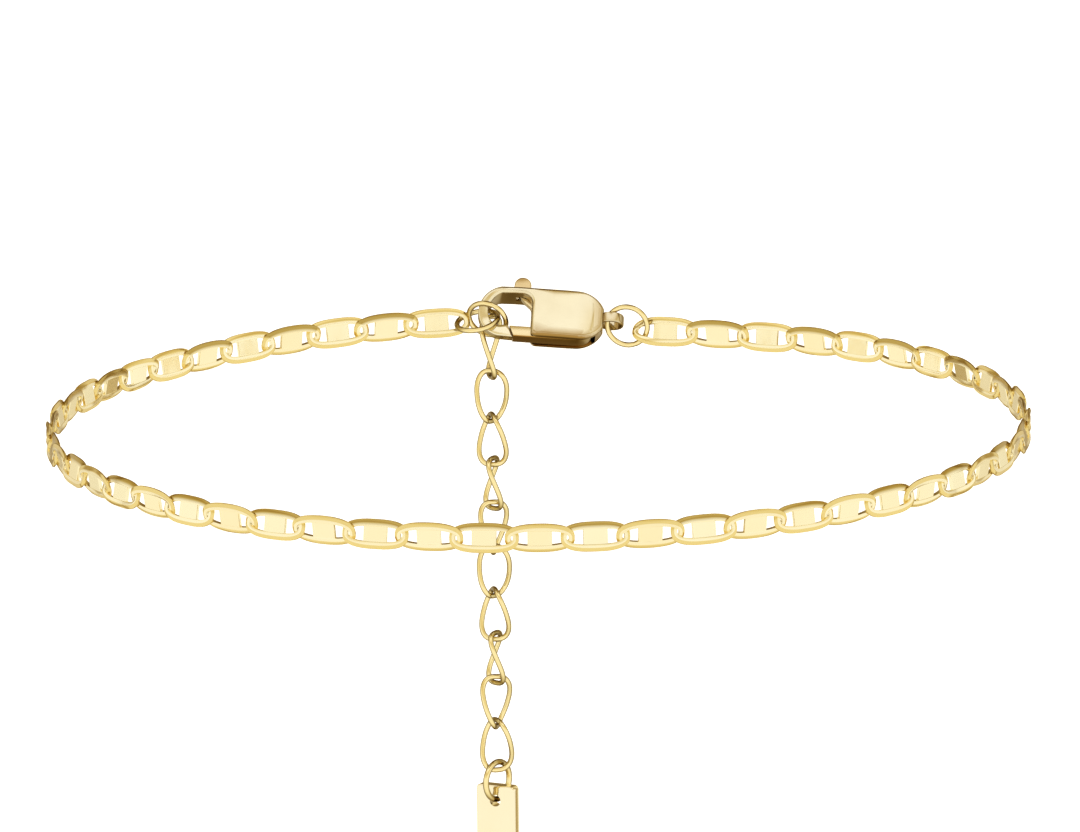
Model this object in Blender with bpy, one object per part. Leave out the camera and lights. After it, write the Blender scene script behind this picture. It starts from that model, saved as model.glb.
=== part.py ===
"""Gold anklet: a closed loop of flat two-window links, a trigger clasp and a hanging extender with a tag.

The loop stands as it is worn, with its front towards -Y, and its centre is the origin.
Lengths below are in millimetres and are scaled to metres where the meshes are made.
"""

import math

import bmesh
import bpy
from mathutils import Matrix, Vector

MM = 0.001
WELD = 0.0005

# Loop and its flat links
LOOP_DIAMETER = 72.8
LOOP_PITCHES = 57.5
LINK_COUNT = 54
LOOP_RADIUS = LOOP_DIAMETER / 2
LOOP_LENGTH = math.pi * LOOP_DIAMETER
LINK_PITCH = LOOP_LENGTH / LOOP_PITCHES
END_RIM = 0.44
SIDE_RIM = 0.55
LINK_SLACK = 0.30
LINK_LENGTH = LINK_PITCH + 2 * END_RIM + LINK_SLACK
LINK_WIDTH = 2.24
LINK_THICKNESS = 0.34
LINK_BEVEL = 0.18
WINDOW_BEVEL = 0.17
LINK_ROUNDNESS = 2.7
# Shares of the half length at which the outer edge and the window have their corners
OUTER_CORNERS = (0.36, 0.86)
WINDOW_CORNER = 0.80
PLATE_LENGTH = 1.82
MIDDLE_LEAN = math.radians(7)
END_LEAN = math.radians(15)
HOLDING_LEAN = math.radians(46)
MEETING_LEAN = math.radians(44)
FIRST_LEFT_LINK = 27
TWISTED_LINK = 46
# How far round the loop the plates of the first and the last link sit from the clasp's middle
FIRST_LINK_ARC = 9.834
LAST_LINK_ARC = 7.661
# Link number and the share of the way from the first link to the last at which its plate sits
LINK_PLACES = [(0, 0.0), (8, 0.1572), (16, 0.3009), (37, 0.7084), (44, 0.8316), (53, 1.0)]
RIGHT_END_LIFT = -0.48
LEFT_END_LIFT = 0.31
LIFT_REACH = 14.0
# Distance each side of a link's middle over which the route's direction is taken
ROUTE_STEP = 1.0

# Wire of the extender and of the jump rings
EXTENDER_WIRE = 0.40
RING_WIRE = 0.40
WIRE_ROUNDNESS = 1
RING_STEPS = 16
LINK_STEPS = 16
WIRE_GAP = 0.09

# Extender
EXTENDER_X = -3.499
EXTENDER_Y = LOOP_RADIUS + 0.555
EXTENDER_LINKS = 10
EXTENDER_PITCH = 3.40
EXTENDER_LENGTH = EXTENDER_PITCH + 2 * EXTENDER_WIRE + WIRE_GAP
EXTENDER_WIDTH = 2.76
EXTENDER_ROUNDNESS = 2.8
EXTENDER_TWIST = 78
SECOND_LINK_Z = -5.68
FIRST_LINK_TOP = 0.666
# Turn of each link's upper end about the vertical, in degrees, from the top link down
LINK_TURNS = [33.9, -25, -78, -120, 5, -30, -78, -122, 0, -62]

# Clasp, in its own frame: X towards the tail, Y away from the viewer, Z up across its face
CLASP_CENTRE = Vector((0.85, LOOP_RADIUS - 0.50, 0.613))
CLASP_LEAN = math.radians(-36)
CLASP_SLOPE = math.radians(4.92)
BODY_LEFT = -1.28
BODY_TOP = 1.83
BODY_BOTTOM = -2.05
BODY_SHOULDER = 2.20
BODY_END = 4.35
BODY_HALF_DEPTH = 1.30
# The nose's round ends, in degrees above and below its middle, where it is cut flat for the tail
NOSE_ANGLE = 22
NOSE_STEPS = 4
BODY_EDGE = 0.26
BODY_HEEL = (0.42, 0.45)
PLATE_WALL = 0.50
CAVITY_HALF_DEPTH = BODY_HALF_DEPTH - PLATE_WALL
CAVITY_CEILING = 0.25
# Height down to which the hollow follows the outline of the nose
CAVITY_LIP = -1.0
# How far the open sides of the hollow are cut past the body
CUT_PAST = 1.0
TAIL_X = 4.80
TAIL_Z = 0.02
TAIL_HEIGHT = 0.55
TAIL_WALL = 0.20
TAIL_HOLE_RADIUS = 0.75
# The hook is a band that bends round its centre: from the box's top to its tip under the rings
HOOK_CENTRE = (-3.42, -0.08)
HOOK_REACH = 1.88
HOOK_BAND = 0.74
HOOK_START_HEIGHT = 0.50
HOOK_EXTRA_HEIGHT = 0.36
HOOK_START_ANGLE = math.radians(93)
HOOK_TURN = math.radians(172)
HOOK_STEPS = 8
HOOK_START_HALF_DEPTH = 1.10
HOOK_TIP_HALF_DEPTH = 0.44
HOOK_NARROWING = 2.4
HOOK_DROP = 0.04
# Cut corners of the hook's section: share of its height and share of its half depth
HOOK_SECTION = ((0, 0.55), (0.28, 1), (0.72, 1), (1, 0.55), (1, -0.55), (0.72, -1), (0.28, -1), (0, -0.55))
BAR_HEIGHT = 0.53
BAR_ENDS = ((-0.95, 1.22), (-2.30, 1.18))
TIP_TOP = (-2.99, -1.06)
TIP_BOTTOM = (-2.64, -2.00)
# Lever: its blade closes the hook, and its arm carries the nub through a slot in the box's top
HOOK_GAP = 0.06
TIP_GAP = 0.10
LEVER_HALF_DEPTH = 0.62
LEVER_TOP = -1.18
LEVER_BOTTOM = -2.00
LEVER_EYE = 0.62
NUB_X = -2.05
ARM_BENDS = ((0.15, -1.45), (-0.72, 0.30), (-1.66, 1.10), (NUB_X, 1.55))
ARM_TOP = BODY_TOP + 0.22
ARM_HALF_WIDTH = 0.24
ARM_HALF_DEPTH = 0.28
ARM_PLAY = 0.10
SLOT_LEFT = -2.50
SLOT_MIDDLE = -1.50
SLOT_RIGHT = -0.10
SLOT_STEP = 0.90
PIVOT = (0.90, -1.25)
PIN_RADIUS = 0.26
PIN_GAP = 0.06
PIN_SEAT = 0.20
PIN_HALF_LENGTH = CAVITY_HALF_DEPTH + PIN_SEAT
ROUND_SIDES = 12
NUB_RADIUS = 0.64
NUB_BOTTOM = BODY_TOP + 0.07
NUB_MIDDLE = BODY_TOP + 0.42
NUB_HALF_DEPTH = 0.55

# Tag
TAG_WIDTH = 3.20
TAG_LENGTH = 9.00
TAG_THICKNESS = 0.95
TAG_CORNER = 0.35
TAG_EDGE = 0.12
TAG_HOLE_RADIUS = 0.46
TAG_HOLE_DROP = 1.18
TAG_TURN = math.radians(-27)
TAG_RING_RADIUS = 1.435
TAG_RING_WIRE = 0.46
TAG_RING_TURN = math.radians(52)

# End rings: a ring's normal is raised from the horizontal and turned from the viewer's side
CHAIN_RING = {"centre": (-4.505, LOOP_RADIUS - 0.776, 0.445), "radius": 1.586, "raised": 72.974, "turned": -38.963}
EXTENDER_RING = {"centre": (-3.747, LOOP_RADIUS - 0.404, 0.492), "radius": 1.480, "raised": 155.805, "turned": -20.769}
TAIL_RING = {"centre": (6.830, LOOP_RADIUS - 0.697, -0.132), "radius": 1.545, "raised": -9, "turned": -11}

GOLD = (0.93, 0.72, 0.30, 1.0)
PALE_GOLD = (0.96, 0.80, 0.45, 1.0)


def clear_scene():
    """Removes every object of the starting scene."""
    for obj in list(bpy.data.objects):
        bpy.data.objects.remove(obj, do_unlink=True)


def new_collection(name):
    """A collection linked to the scene."""
    found = bpy.data.collections.new(name)
    bpy.context.scene.collection.children.link(found)
    return found


def gold_material(name, colour, roughness):
    """A metal with its own name."""
    material = bpy.data.materials.new(name)
    material.use_nodes = True
    shader = material.node_tree.nodes["Principled BSDF"]
    shader.inputs["Base Color"].default_value = colour
    shader.inputs["Metallic"].default_value = 1.0
    shader.inputs["Roughness"].default_value = roughness
    return material


def object_of(bm, name, collection, material=None):
    """Puts a mesh drawn in millimetres into the scene in metres."""
    bmesh.ops.recalc_face_normals(bm, faces=bm.faces)
    bmesh.ops.triangulate(bm, faces=bm.faces)
    bmesh.ops.scale(bm, verts=bm.verts, vec=(MM, MM, MM))
    mesh = bpy.data.meshes.new(name)
    bm.to_mesh(mesh)
    bm.free()
    obj = bpy.data.objects.new(name, mesh)
    collection.objects.link(obj)
    if material:
        mesh.materials.append(material)
    return obj


def curve_object(name, splines, collection, material=None, flat=False):
    """A curve through closed runs of points in millimetres: in the plane where flat, or else in space."""
    curve = bpy.data.curves.new(name, "CURVE")
    curve.dimensions = "2D" if flat else "3D"
    curve.bevel_resolution = 0 if flat else WIRE_ROUNDNESS
    for points in splines:
        spline = curve.splines.new("POLY")
        spline.points.add(len(points) - 1)
        for target, point in zip(spline.points, points):
            target.co = (*(Vector(point).to_3d() * MM), 1)
        spline.use_cyclic_u = True
    obj = bpy.data.objects.new(name, curve)
    collection.objects.link(obj)
    if material:
        curve.materials.append(material)
    return obj


def wire_object(name, points, diameter, collection, material):
    """A closed loop of round wire through a list of points."""
    wire = curve_object(name, [points], collection, material)
    wire.data.bevel_depth = diameter / 2 * MM
    return wire


def flat_object(name, outline, half_depth, collection, edge=0.0, upright=True):
    """A solid of a flat outline, with cut edges where asked, its depth along Y where it stands upright."""
    shape = curve_object(name + "_outline", [outline], collection, flat=True)
    shape.data.fill_mode = "BOTH"
    shape.data.extrude = (half_depth - edge) * MM
    shape.data.bevel_depth = edge * MM
    shape.data.offset = -edge * MM
    bpy.context.view_layer.update()
    graph = bpy.context.evaluated_depsgraph_get()
    mesh = bpy.data.meshes.new_from_object(shape.evaluated_get(graph))
    drop(shape)
    bm = bmesh.new()
    bm.from_mesh(mesh)
    bpy.data.meshes.remove(mesh)
    bmesh.ops.remove_doubles(bm, verts=bm.verts, dist=WELD * MM)
    if upright:
        bmesh.ops.rotate(bm, verts=bm.verts, cent=(0, 0, 0), matrix=Matrix.Rotation(math.radians(90), 3, "X"))
    bmesh.ops.scale(bm, verts=bm.verts, vec=(1 / MM, 1 / MM, 1 / MM))
    return object_of(bm, name, collection)


def boolean(obj, operation, other):
    """Adds an exact Boolean with another object."""
    modifier = obj.modifiers.new(operation.title() + " " + other.name, "BOOLEAN")
    modifier.operation = operation
    modifier.solver = "EXACT"
    modifier.object = other


def baked(obj):
    """Replaces an object's mesh by what its modifiers make, and removes them."""
    bpy.context.view_layer.update()
    graph = bpy.context.evaluated_depsgraph_get()
    mesh = bpy.data.meshes.new_from_object(obj.evaluated_get(graph))
    obj.modifiers.clear()
    obj.data = mesh


def drop(*objects):
    """Removes helper objects."""
    for obj in objects:
        bpy.data.objects.remove(obj, do_unlink=True)


def superellipse(along, length, height, power):
    """Half height of a superellipse outline at a distance along its half length."""
    share = min(abs(along) / length, 1.0)
    return height * (1 - share**power) ** (1 / power)


# Flat link


def link_outlines():
    """Outer and window outlines of one end of a link, as matching lists from top to bottom."""
    half = LINK_LENGTH / 2
    start, end = PLATE_LENGTH / 2, half - END_RIM
    height = LINK_WIDTH / 2 - SIDE_RIM
    outer = [(a * half, superellipse(a, 1, LINK_WIDTH / 2, LINK_ROUNDNESS)) for a in OUTER_CORNERS]
    window = [(a, superellipse(a, end, height, LINK_ROUNDNESS)) for a in (start, WINDOW_CORNER * end)]
    outer = outer + [(half, 0.0)] + [(a, -b) for a, b in reversed(outer)]
    window = window + [(end, 0.0)] + [(a, -b) for a, b in reversed(window)]
    return outer, window


def drawn_in(point, amount):
    """A point of the outer outline, moved in for the flat of the rim."""
    a, b = point
    return a * (1 - amount * 2 / LINK_LENGTH), b * (1 - amount * 2 / LINK_WIDTH)


def drawn_out(point, amount):
    """A point of the window's outline, moved out for the flat of the rim; the plate's edge stays."""
    a, b = point
    start, end = PLATE_LENGTH / 2, LINK_LENGTH / 2 - END_RIM
    height = LINK_WIDTH / 2 - SIDE_RIM
    return a + amount * (a - start) / (end - start), b * (1 + amount / height)


def lean_at(share, leans):
    """Lean of a link's section: least at its middle, where a twisted link passes through upright."""
    start, end = leans
    if start * end < 0:
        return start + (end - start) * (share + 1) / 2
    middle = math.copysign(MIDDLE_LEAN, start)
    return middle + ((start if share < 0 else end) - middle) * abs(share)


def add_link(bm, frame, leans):
    """Draws one flat link with two windows between its bevelled rims."""
    outer, window = link_outlines()

    def vertex(point, layer):
        a, b = point
        lean = lean_at(a * 2 / LINK_LENGTH, leans)
        depth = layer * LINK_THICKNESS / 2
        across = Vector((a, b * math.sin(lean) + depth * math.cos(lean), b * math.cos(lean) - depth * math.sin(lean)))
        return bm.verts.new(frame @ across)

    rims, holes = {}, {}
    for layer in (1, 0, -1):
        bevel = LINK_BEVEL * abs(layer)
        right = [drawn_in(p, bevel) for p in outer]
        line = right + [(-a, b) for a, b in reversed(right)]
        rims[layer] = [vertex(p, layer) for p in line]
        for end in (1, -1):
            opening = [drawn_out(p, WINDOW_BEVEL * abs(layer)) for p in window]
            holes[layer, end] = [vertex((end * a, b), layer) for a, b in opening]

    count = len(outer)
    for layer in (1, -1):
        rim, right, left = rims[layer], holes[layer, 1], holes[layer, -1]
        sides = {1: rim[:count], -1: rim[count:][::-1]}
        for end, hole in ((1, right), (-1, left)):
            for i in range(count - 1):
                bm.faces.new((sides[end][i], sides[end][i + 1], hole[i + 1], hole[i]))
        bm.faces.new((right[0], right[-1], left[-1], left[0]))
        for i in (0, -1):
            bm.faces.new((sides[1][i], right[i], left[i], sides[-1][i]))
    walls = [(rims[1], rims[0]), (rims[0], rims[-1])]
    for end in (1, -1):
        walls += [(holes[1, end], holes[0, end]), (holes[0, end], holes[-1, end])]
    for first, second in walls:
        for i in range(len(first)):
            j = (i + 1) % len(first)
            bm.faces.new((first[i], first[j], second[j], second[i]))


def link_turn(number):
    """Share of the loop's turn at which a link's plate sits, counted from the clasp."""
    for (low, start), (high, end) in zip(LINK_PLACES, LINK_PLACES[1:]):
        if number <= high:
            share = start + (end - start) * (number - low) / (high - low)
            break
    return (FIRST_LINK_ARC + share * (LOOP_LENGTH - FIRST_LINK_ARC - LAST_LINK_ARC)) / LOOP_LENGTH


def loop_lift(turn):
    """Height of the loop's route: its two ends follow the sloping clasp."""
    arc_length = turn * LOOP_LENGTH
    after = max(0.0, arc_length - FIRST_LINK_ARC) / LIFT_REACH
    before = max(0.0, LOOP_LENGTH - LAST_LINK_ARC - arc_length) / LIFT_REACH
    return RIGHT_END_LIFT * math.exp(-after * after) + LEFT_END_LIFT * math.exp(-before * before)


def loop_point(turn):
    """Point of the loop's route."""
    angle = math.tau * turn
    return Vector((LOOP_RADIUS * math.sin(angle), LOOP_RADIUS * math.cos(angle), loop_lift(turn)))


def link_frame(number):
    """Frame of a link: X along the loop, Y outwards, Z up."""
    turn = link_turn(number)
    step = ROUTE_STEP / LOOP_LENGTH
    along = (loop_point(turn + step) - loop_point(turn - step)).normalized()
    centre = loop_point(turn)
    up = Vector((0, 0, 1))
    outward = up.cross(along).normalized()
    if outward.dot(centre) < 0:
        outward = -outward
    up = along.cross(outward)
    if up.z < 0:
        up = -up
    frame = Matrix((along, outward, up)).transposed().to_4x4()
    frame.translation = centre
    return frame


def link_leans(number):
    """Signed lean of a link at its two ends; neighbours lean opposite ways."""
    if number == TWISTED_LINK:
        return END_LEAN, -END_LEAN
    flipped = number > TWISTED_LINK
    sign = 1 if (number % 2 == 0) != flipped else -1
    start, end = END_LEAN, END_LEAN
    if number == 0:
        start = HOLDING_LEAN
    if number == FIRST_LEFT_LINK:
        start = MEETING_LEAN
    if number == FIRST_LEFT_LINK - 1:
        end = MEETING_LEAN
    return sign * start, sign * end


def chain_half(name, numbers, collection, material):
    """Fuses a run of links into one body: every second link in one mesh, the rest in another."""
    meshes = []
    for parity in (0, 1):
        bm = bmesh.new()
        for number in numbers[parity::2]:
            add_link(bm, link_frame(number), link_leans(number))
        meshes.append(object_of(bm, f"{name}_{parity}", collection))
    chain, rest = meshes
    boolean(chain, "UNION", rest)
    baked(chain)
    drop(rest)
    chain.name = name
    chain.data.materials.append(material)
    return chain


# Wire


def jump_ring(name, centre, radius, wire, normal, collection, material):
    """A round jump ring about a normal."""
    normal = normal.normalized()
    first = Vector((1, 0, 0))
    first = (first - normal * first.dot(normal)).normalized()
    second = normal.cross(first)
    points = []
    for i in range(RING_STEPS):
        angle = math.tau * (i + 0.5) / RING_STEPS
        points.append(centre + radius * (math.cos(angle) * first + math.sin(angle) * second))
    return wire_object(name, points, wire, collection, material)


def twisted_link(name, centre, half_length, half_width, top_turn, twist, collection, material):
    """An oval wire link whose plane turns from its upper end to its lower end."""
    points = []
    for i in range(LINK_STEPS):
        angle = math.tau * i / LINK_STEPS
        power = 2 / EXTENDER_ROUNDNESS
        across = math.copysign(abs(math.sin(angle)) ** power, math.sin(angle)) * half_width
        height = math.copysign(abs(math.cos(angle)) ** power, math.cos(angle)) * half_length
        turn = math.radians(top_turn + twist * (half_length - height) / (2 * half_length))
        points.append(centre + Vector((across * math.cos(turn), across * math.sin(turn), height)))
    return wire_object(name, points, EXTENDER_WIRE, collection, material)


def extender_name(number):
    """Name of an extender link, counted from 0 at the top."""
    return f"extender_link_{number + 1:02d}"


def build_extender(collection, materials):
    """The ten hanging links, the first of them longer because it reaches over the end rings."""
    half_width = (EXTENDER_WIDTH - EXTENDER_WIRE) / 2
    second_top = SECOND_LINK_Z + EXTENDER_LENGTH / 2
    first_bottom = second_top - 2 * EXTENDER_WIRE - WIRE_GAP
    first_half = (FIRST_LINK_TOP - first_bottom - EXTENDER_WIRE) / 2
    first_centre = (FIRST_LINK_TOP + first_bottom) / 2
    for number, turn in enumerate(LINK_TURNS):
        half = (EXTENDER_LENGTH - EXTENDER_WIRE) / 2 if number else first_half
        height = SECOND_LINK_Z - EXTENDER_PITCH * (number - 1) if number else first_centre
        name = extender_name(number)
        centre = Vector((EXTENDER_X, EXTENDER_Y, height))
        twisted_link(name, centre, half, half_width, turn, EXTENDER_TWIST, collection, materials[name])


# Clasp


def clasp_frame():
    """Frame of the clasp in the loop."""
    turn = Matrix.Rotation(CLASP_SLOPE, 4, "Y") @ Matrix.Rotation(CLASP_LEAN, 4, "X")
    return Matrix.Translation(CLASP_CENTRE) @ turn


def arc(centre, reach_x, reach_z, start, end, steps):
    """Points of an ellipse's arc, its angles in degrees."""
    points = []
    for step in range(steps + 1):
        angle = math.radians(start + (end - start) * step / steps)
        points.append((centre[0] + reach_x * math.cos(angle), centre[1] + reach_z * math.sin(angle)))
    return points


def rounded(outline_points, radius, steps=2):
    """An outline with its corners cut to short arcs."""
    result = []
    count = len(outline_points)
    for i, point in enumerate(outline_points):
        corner = Vector(point)
        before = Vector(outline_points[i - 1]) - corner
        after = Vector(outline_points[(i + 1) % count]) - corner
        reach = min(radius, before.length * 0.45, after.length * 0.45)
        start = corner + before.normalized() * reach
        end = corner + after.normalized() * reach
        for step in range(steps + 1):
            share = step / steps
            blend = start.lerp(corner, share).lerp(corner.lerp(end, share), share)
            result.append((blend.x, blend.y))
    return result


def body_outline(margin=0.0):
    """Outline of the clasp's box, drawn in by a margin."""
    top, bottom = BODY_TOP - margin, BODY_BOTTOM + margin
    left, reach = BODY_LEFT + margin, BODY_END - margin - BODY_SHOULDER
    middle = (BODY_TOP + BODY_BOTTOM) / 2
    heel_x, heel_z = BODY_HEEL
    points = [(left, top)]
    points += arc((BODY_SHOULDER, middle), reach, top - middle, 90, NOSE_ANGLE, NOSE_STEPS)
    points += arc((BODY_SHOULDER, middle), reach, middle - bottom, -NOSE_ANGLE, -90, NOSE_STEPS)
    points += arc((left + heel_x, bottom + heel_z), heel_x, heel_z, -90, -180, 2)
    return points


def hook_ribs():
    """Inner point, outer point and half depth of each section along the hook."""
    cx, cz = HOOK_CENTRE
    ribs = []
    for x, depth in BAR_ENDS:
        ribs.append(((x, BODY_TOP - BAR_HEIGHT), (x, BODY_TOP - HOOK_DROP / 2), depth))
    for step in range(HOOK_STEPS):
        share = step / (HOOK_STEPS - 1)
        angle = HOOK_START_ANGLE + HOOK_TURN * share
        height = HOOK_START_HEIGHT + HOOK_EXTRA_HEIGHT * share
        reach_z = BODY_TOP - HOOK_DROP - cz if angle < math.pi else cz - TIP_BOTTOM[1]
        outer = (cx + HOOK_REACH * math.cos(angle), cz + reach_z * math.sin(angle))
        inner = (cx + (HOOK_REACH - HOOK_BAND) * math.cos(angle), cz + (reach_z - height) * math.sin(angle))
        narrowing = max(0.0, 1 - HOOK_NARROWING * share)
        depth = HOOK_TIP_HALF_DEPTH + (HOOK_START_HALF_DEPTH - HOOK_TIP_HALF_DEPTH) * narrowing
        ribs.append((inner, outer, depth))
    ribs.append((TIP_TOP, TIP_BOTTOM, HOOK_TIP_HALF_DEPTH + 0.02))
    return ribs


def hook_mesh():
    """The hook as a band with cut corners swept along its ribs."""
    bm = bmesh.new()
    rings = []
    for inner, outer, depth in hook_ribs():
        ix, iz = inner
        ox, oz = outer
        ring = []
        for share, side in HOOK_SECTION:
            ring.append(bm.verts.new((ix + (ox - ix) * share, side * depth, iz + (oz - iz) * share)))
        rings.append(ring)
    bm.faces.new(rings[0])
    bm.faces.new(rings[-1])
    for first, second in zip(rings, rings[1:]):
        for i in range(len(first)):
            j = (i + 1) % len(first)
            bm.faces.new((first[i], first[j], second[j], second[i]))
    return bm


def tail_outline(radius):
    """Round outline at the clasp's tail, seen from above."""
    return arc((TAIL_X, 0), radius, radius, 0, 330, 11)


def cylinder(radius, half_length, centre, sides=ROUND_SIDES):
    """A round bar along the clasp's depth."""
    bm = bmesh.new()
    bmesh.ops.create_cone(
        bm, cap_ends=True, segments=sides, radius1=radius, radius2=radius, depth=2 * half_length
    )
    turned = Matrix.Rotation(math.radians(90), 4, "X") @ Matrix.Rotation(math.pi / sides, 4, "Z")
    bm.transform(Matrix.Translation((centre[0], 0, centre[1])) @ turned)
    return bm


def place(obj, frame, origin=Vector()):
    """Moves an object drawn in the clasp's frame into the loop, with its origin where asked."""
    obj.data.transform(Matrix.Translation(-origin * MM))
    placed = frame.copy()
    placed.translation = (frame @ origin) * MM
    obj.matrix_world = placed


def cavity_outline():
    """Outline of the body's hollow, open below and towards the hook."""
    wall = [p for p in body_outline(PLATE_WALL) if p[1] > CAVITY_LIP]
    right = max(x for x, _ in wall)
    below, mouth = BODY_BOTTOM - CUT_PAST, BODY_LEFT - CUT_PAST / 2
    wall += [(right, PIVOT[1]), (right - BODY_EDGE * 2, below)]
    return wall + [(mouth, below), (mouth, CAVITY_CEILING), (wall[0][0], CAVITY_CEILING)]


def build_clasp_body(collection, cutters, material):
    """The clasp's body: a hollow box with the fixed hook, and a tube at its tail."""
    body = flat_object("clasp_body", body_outline(), BODY_HALF_DEPTH, collection, BODY_EDGE)
    past = BODY_TOP + CUT_PAST / 2
    slot = [(SLOT_LEFT, past), (SLOT_RIGHT, past), (SLOT_RIGHT, 0), (SLOT_MIDDLE, 0), (SLOT_LEFT, SLOT_STEP)]
    tube = flat_object(
        "tail_tube", tail_outline(TAIL_HOLE_RADIUS + TAIL_WALL), TAIL_HEIGHT / 2, cutters, upright=False
    )
    tail_hole = flat_object(
        "tail_cutter", tail_outline(TAIL_HOLE_RADIUS), TAIL_HEIGHT + CUT_PAST, cutters, upright=False
    )
    for upright in (tube, tail_hole):
        upright.data.transform(Matrix.Translation((0, 0, TAIL_Z * MM)))
    seat = cylinder(PIN_RADIUS + PIN_GAP, PIN_HALF_LENGTH + PIN_GAP, PIVOT)
    cut = [
        flat_object("cavity_cutter", cavity_outline(), CAVITY_HALF_DEPTH, cutters),
        flat_object("slot_cutter", slot, ARM_HALF_DEPTH + ARM_PLAY, cutters),
        object_of(seat, "seat_cutter", cutters),
        tail_hole,
    ]
    for other in (object_of(hook_mesh(), "hook", cutters), tube):
        boolean(body, "UNION", other)
    for other in cut:
        boolean(body, "DIFFERENCE", other)
    baked(body)
    body.data.materials.append(material)
    place(body, clasp_frame())


def blade_outline():
    """Outline of the lever's blade, from its tip at the hook to its eye round the pin."""
    px, pz = PIVOT
    return [
        (TIP_TOP[0] + TIP_GAP, LEVER_TOP),
        (TIP_BOTTOM[0] + HOOK_GAP, LEVER_BOTTOM),
        (px + LEVER_EYE / 2, LEVER_BOTTOM),
        (px + LEVER_EYE, pz - LEVER_EYE / 2),
        (px + LEVER_EYE, pz + LEVER_EYE * 0.4),
        (px + LEVER_EYE / 2, pz + LEVER_EYE * 0.88),
        (px - LEVER_EYE * 0.65, pz + LEVER_EYE * 0.88),
        (px - LEVER_EYE * 1.13, LEVER_TOP + 0.1),
        (px - LEVER_EYE * 1.77, LEVER_TOP),
    ]


def ribbon(line, half_width):
    """Outline of a flat bar along a line."""
    points = [Vector(p) for p in line]
    left, right = [], []
    for i, point in enumerate(points):
        before = points[max(i - 1, 0)]
        after = points[min(i + 1, len(points) - 1)]
        along = (after - before).normalized()
        side = Vector((-along.y, along.x)) * half_width
        left.append(point + side)
        right.append(point - side)
    return left + right[::-1]


def build_clasp_lever(collection, cutters, material):
    """The sprung lever: the gate that closes the hook, and the arm to the nub that opens it."""
    lever = flat_object("clasp_lever", blade_outline(), LEVER_HALF_DEPTH, collection)
    nub = [(NUB_X + NUB_RADIUS, NUB_BOTTOM)]
    nub += arc((NUB_X, NUB_MIDDLE), NUB_RADIUS, NUB_RADIUS, 0, 180, 8)
    nub.append((NUB_X - NUB_RADIUS, NUB_BOTTOM))
    arm = flat_object("arm", ribbon(ARM_BENDS + ((NUB_X, ARM_TOP),), ARM_HALF_WIDTH), ARM_HALF_DEPTH, cutters)
    bore = cylinder(PIN_RADIUS + PIN_GAP, LEVER_HALF_DEPTH + CUT_PAST, PIVOT)
    boolean(lever, "UNION", arm)
    boolean(lever, "UNION", flat_object("nub", nub, NUB_HALF_DEPTH, cutters))
    boolean(lever, "DIFFERENCE", object_of(bore, "bore_cutter", cutters))
    baked(lever)
    lever.data.materials.append(material)
    place(lever, clasp_frame(), Vector((PIVOT[0], 0, PIVOT[1])))


def build_pivot_pin(collection, material):
    """The pin that the lever turns on, seated in both side walls."""
    pin = object_of(cylinder(PIN_RADIUS, PIN_HALF_LENGTH, PIVOT), "pivot_pin", collection, material)
    place(pin, clasp_frame())


# Tag


def build_tag(collection, cutters, materials):
    """The tag and the ring that hangs it from the last extender link."""
    half_length = (EXTENDER_LENGTH - EXTENDER_WIRE) / 2
    last_centre = SECOND_LINK_Z - EXTENDER_PITCH * (EXTENDER_LINKS - 2)
    last_wire = last_centre - half_length
    ring_top = last_wire + EXTENDER_WIRE / 2 + 2 * WIRE_GAP + TAG_RING_WIRE / 2
    centre = Vector((EXTENDER_X, EXTENDER_Y, ring_top - TAG_RING_RADIUS))
    normal = Vector((-math.sin(TAG_RING_TURN), math.cos(TAG_RING_TURN), 0))
    jump_ring(
        "tag_ring", centre, TAG_RING_RADIUS, TAG_RING_WIRE, normal, collection, materials["tag_ring"]
    )
    inside = TAG_RING_RADIUS - TAG_RING_WIRE / 2
    rise = inside - math.sqrt(inside**2 - (TAG_THICKNESS / 2) ** 2)
    play = TAG_HOLE_RADIUS - TAG_RING_WIRE / 2 - WIRE_GAP - rise
    hole_z = centre.z - TAG_RING_RADIUS - play
    top = hole_z + TAG_HOLE_DROP
    corners = [
        (-TAG_WIDTH / 2, top),
        (TAG_WIDTH / 2, top),
        (TAG_WIDTH / 2, top - TAG_LENGTH),
        (-TAG_WIDTH / 2, top - TAG_LENGTH),
    ]
    frame = Matrix.Translation((EXTENDER_X, EXTENDER_Y, 0)) @ Matrix.Rotation(TAG_TURN, 4, "Z")
    tag = flat_object("tag", rounded(corners, TAG_CORNER, 3), TAG_THICKNESS / 2, collection, TAG_EDGE)
    hole = cylinder(TAG_HOLE_RADIUS, TAG_THICKNESS, (0, hole_z), 16)
    boolean(tag, "DIFFERENCE", object_of(hole, "tag_hole_cutter", cutters))
    baked(tag)
    tag.data.materials.append(materials["tag"])
    place(tag, frame)


# End rings


def end_ring(name, place, collection, material):
    """A jump ring in its place."""
    raised, turned = math.radians(place["raised"]), math.radians(place["turned"])
    level = math.cos(raised)
    normal = Vector((math.sin(turned) * level, -math.cos(turned) * level, math.sin(raised)))
    jump_ring(name, Vector(place["centre"]), place["radius"], RING_WIRE, normal, collection, material)


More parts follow.
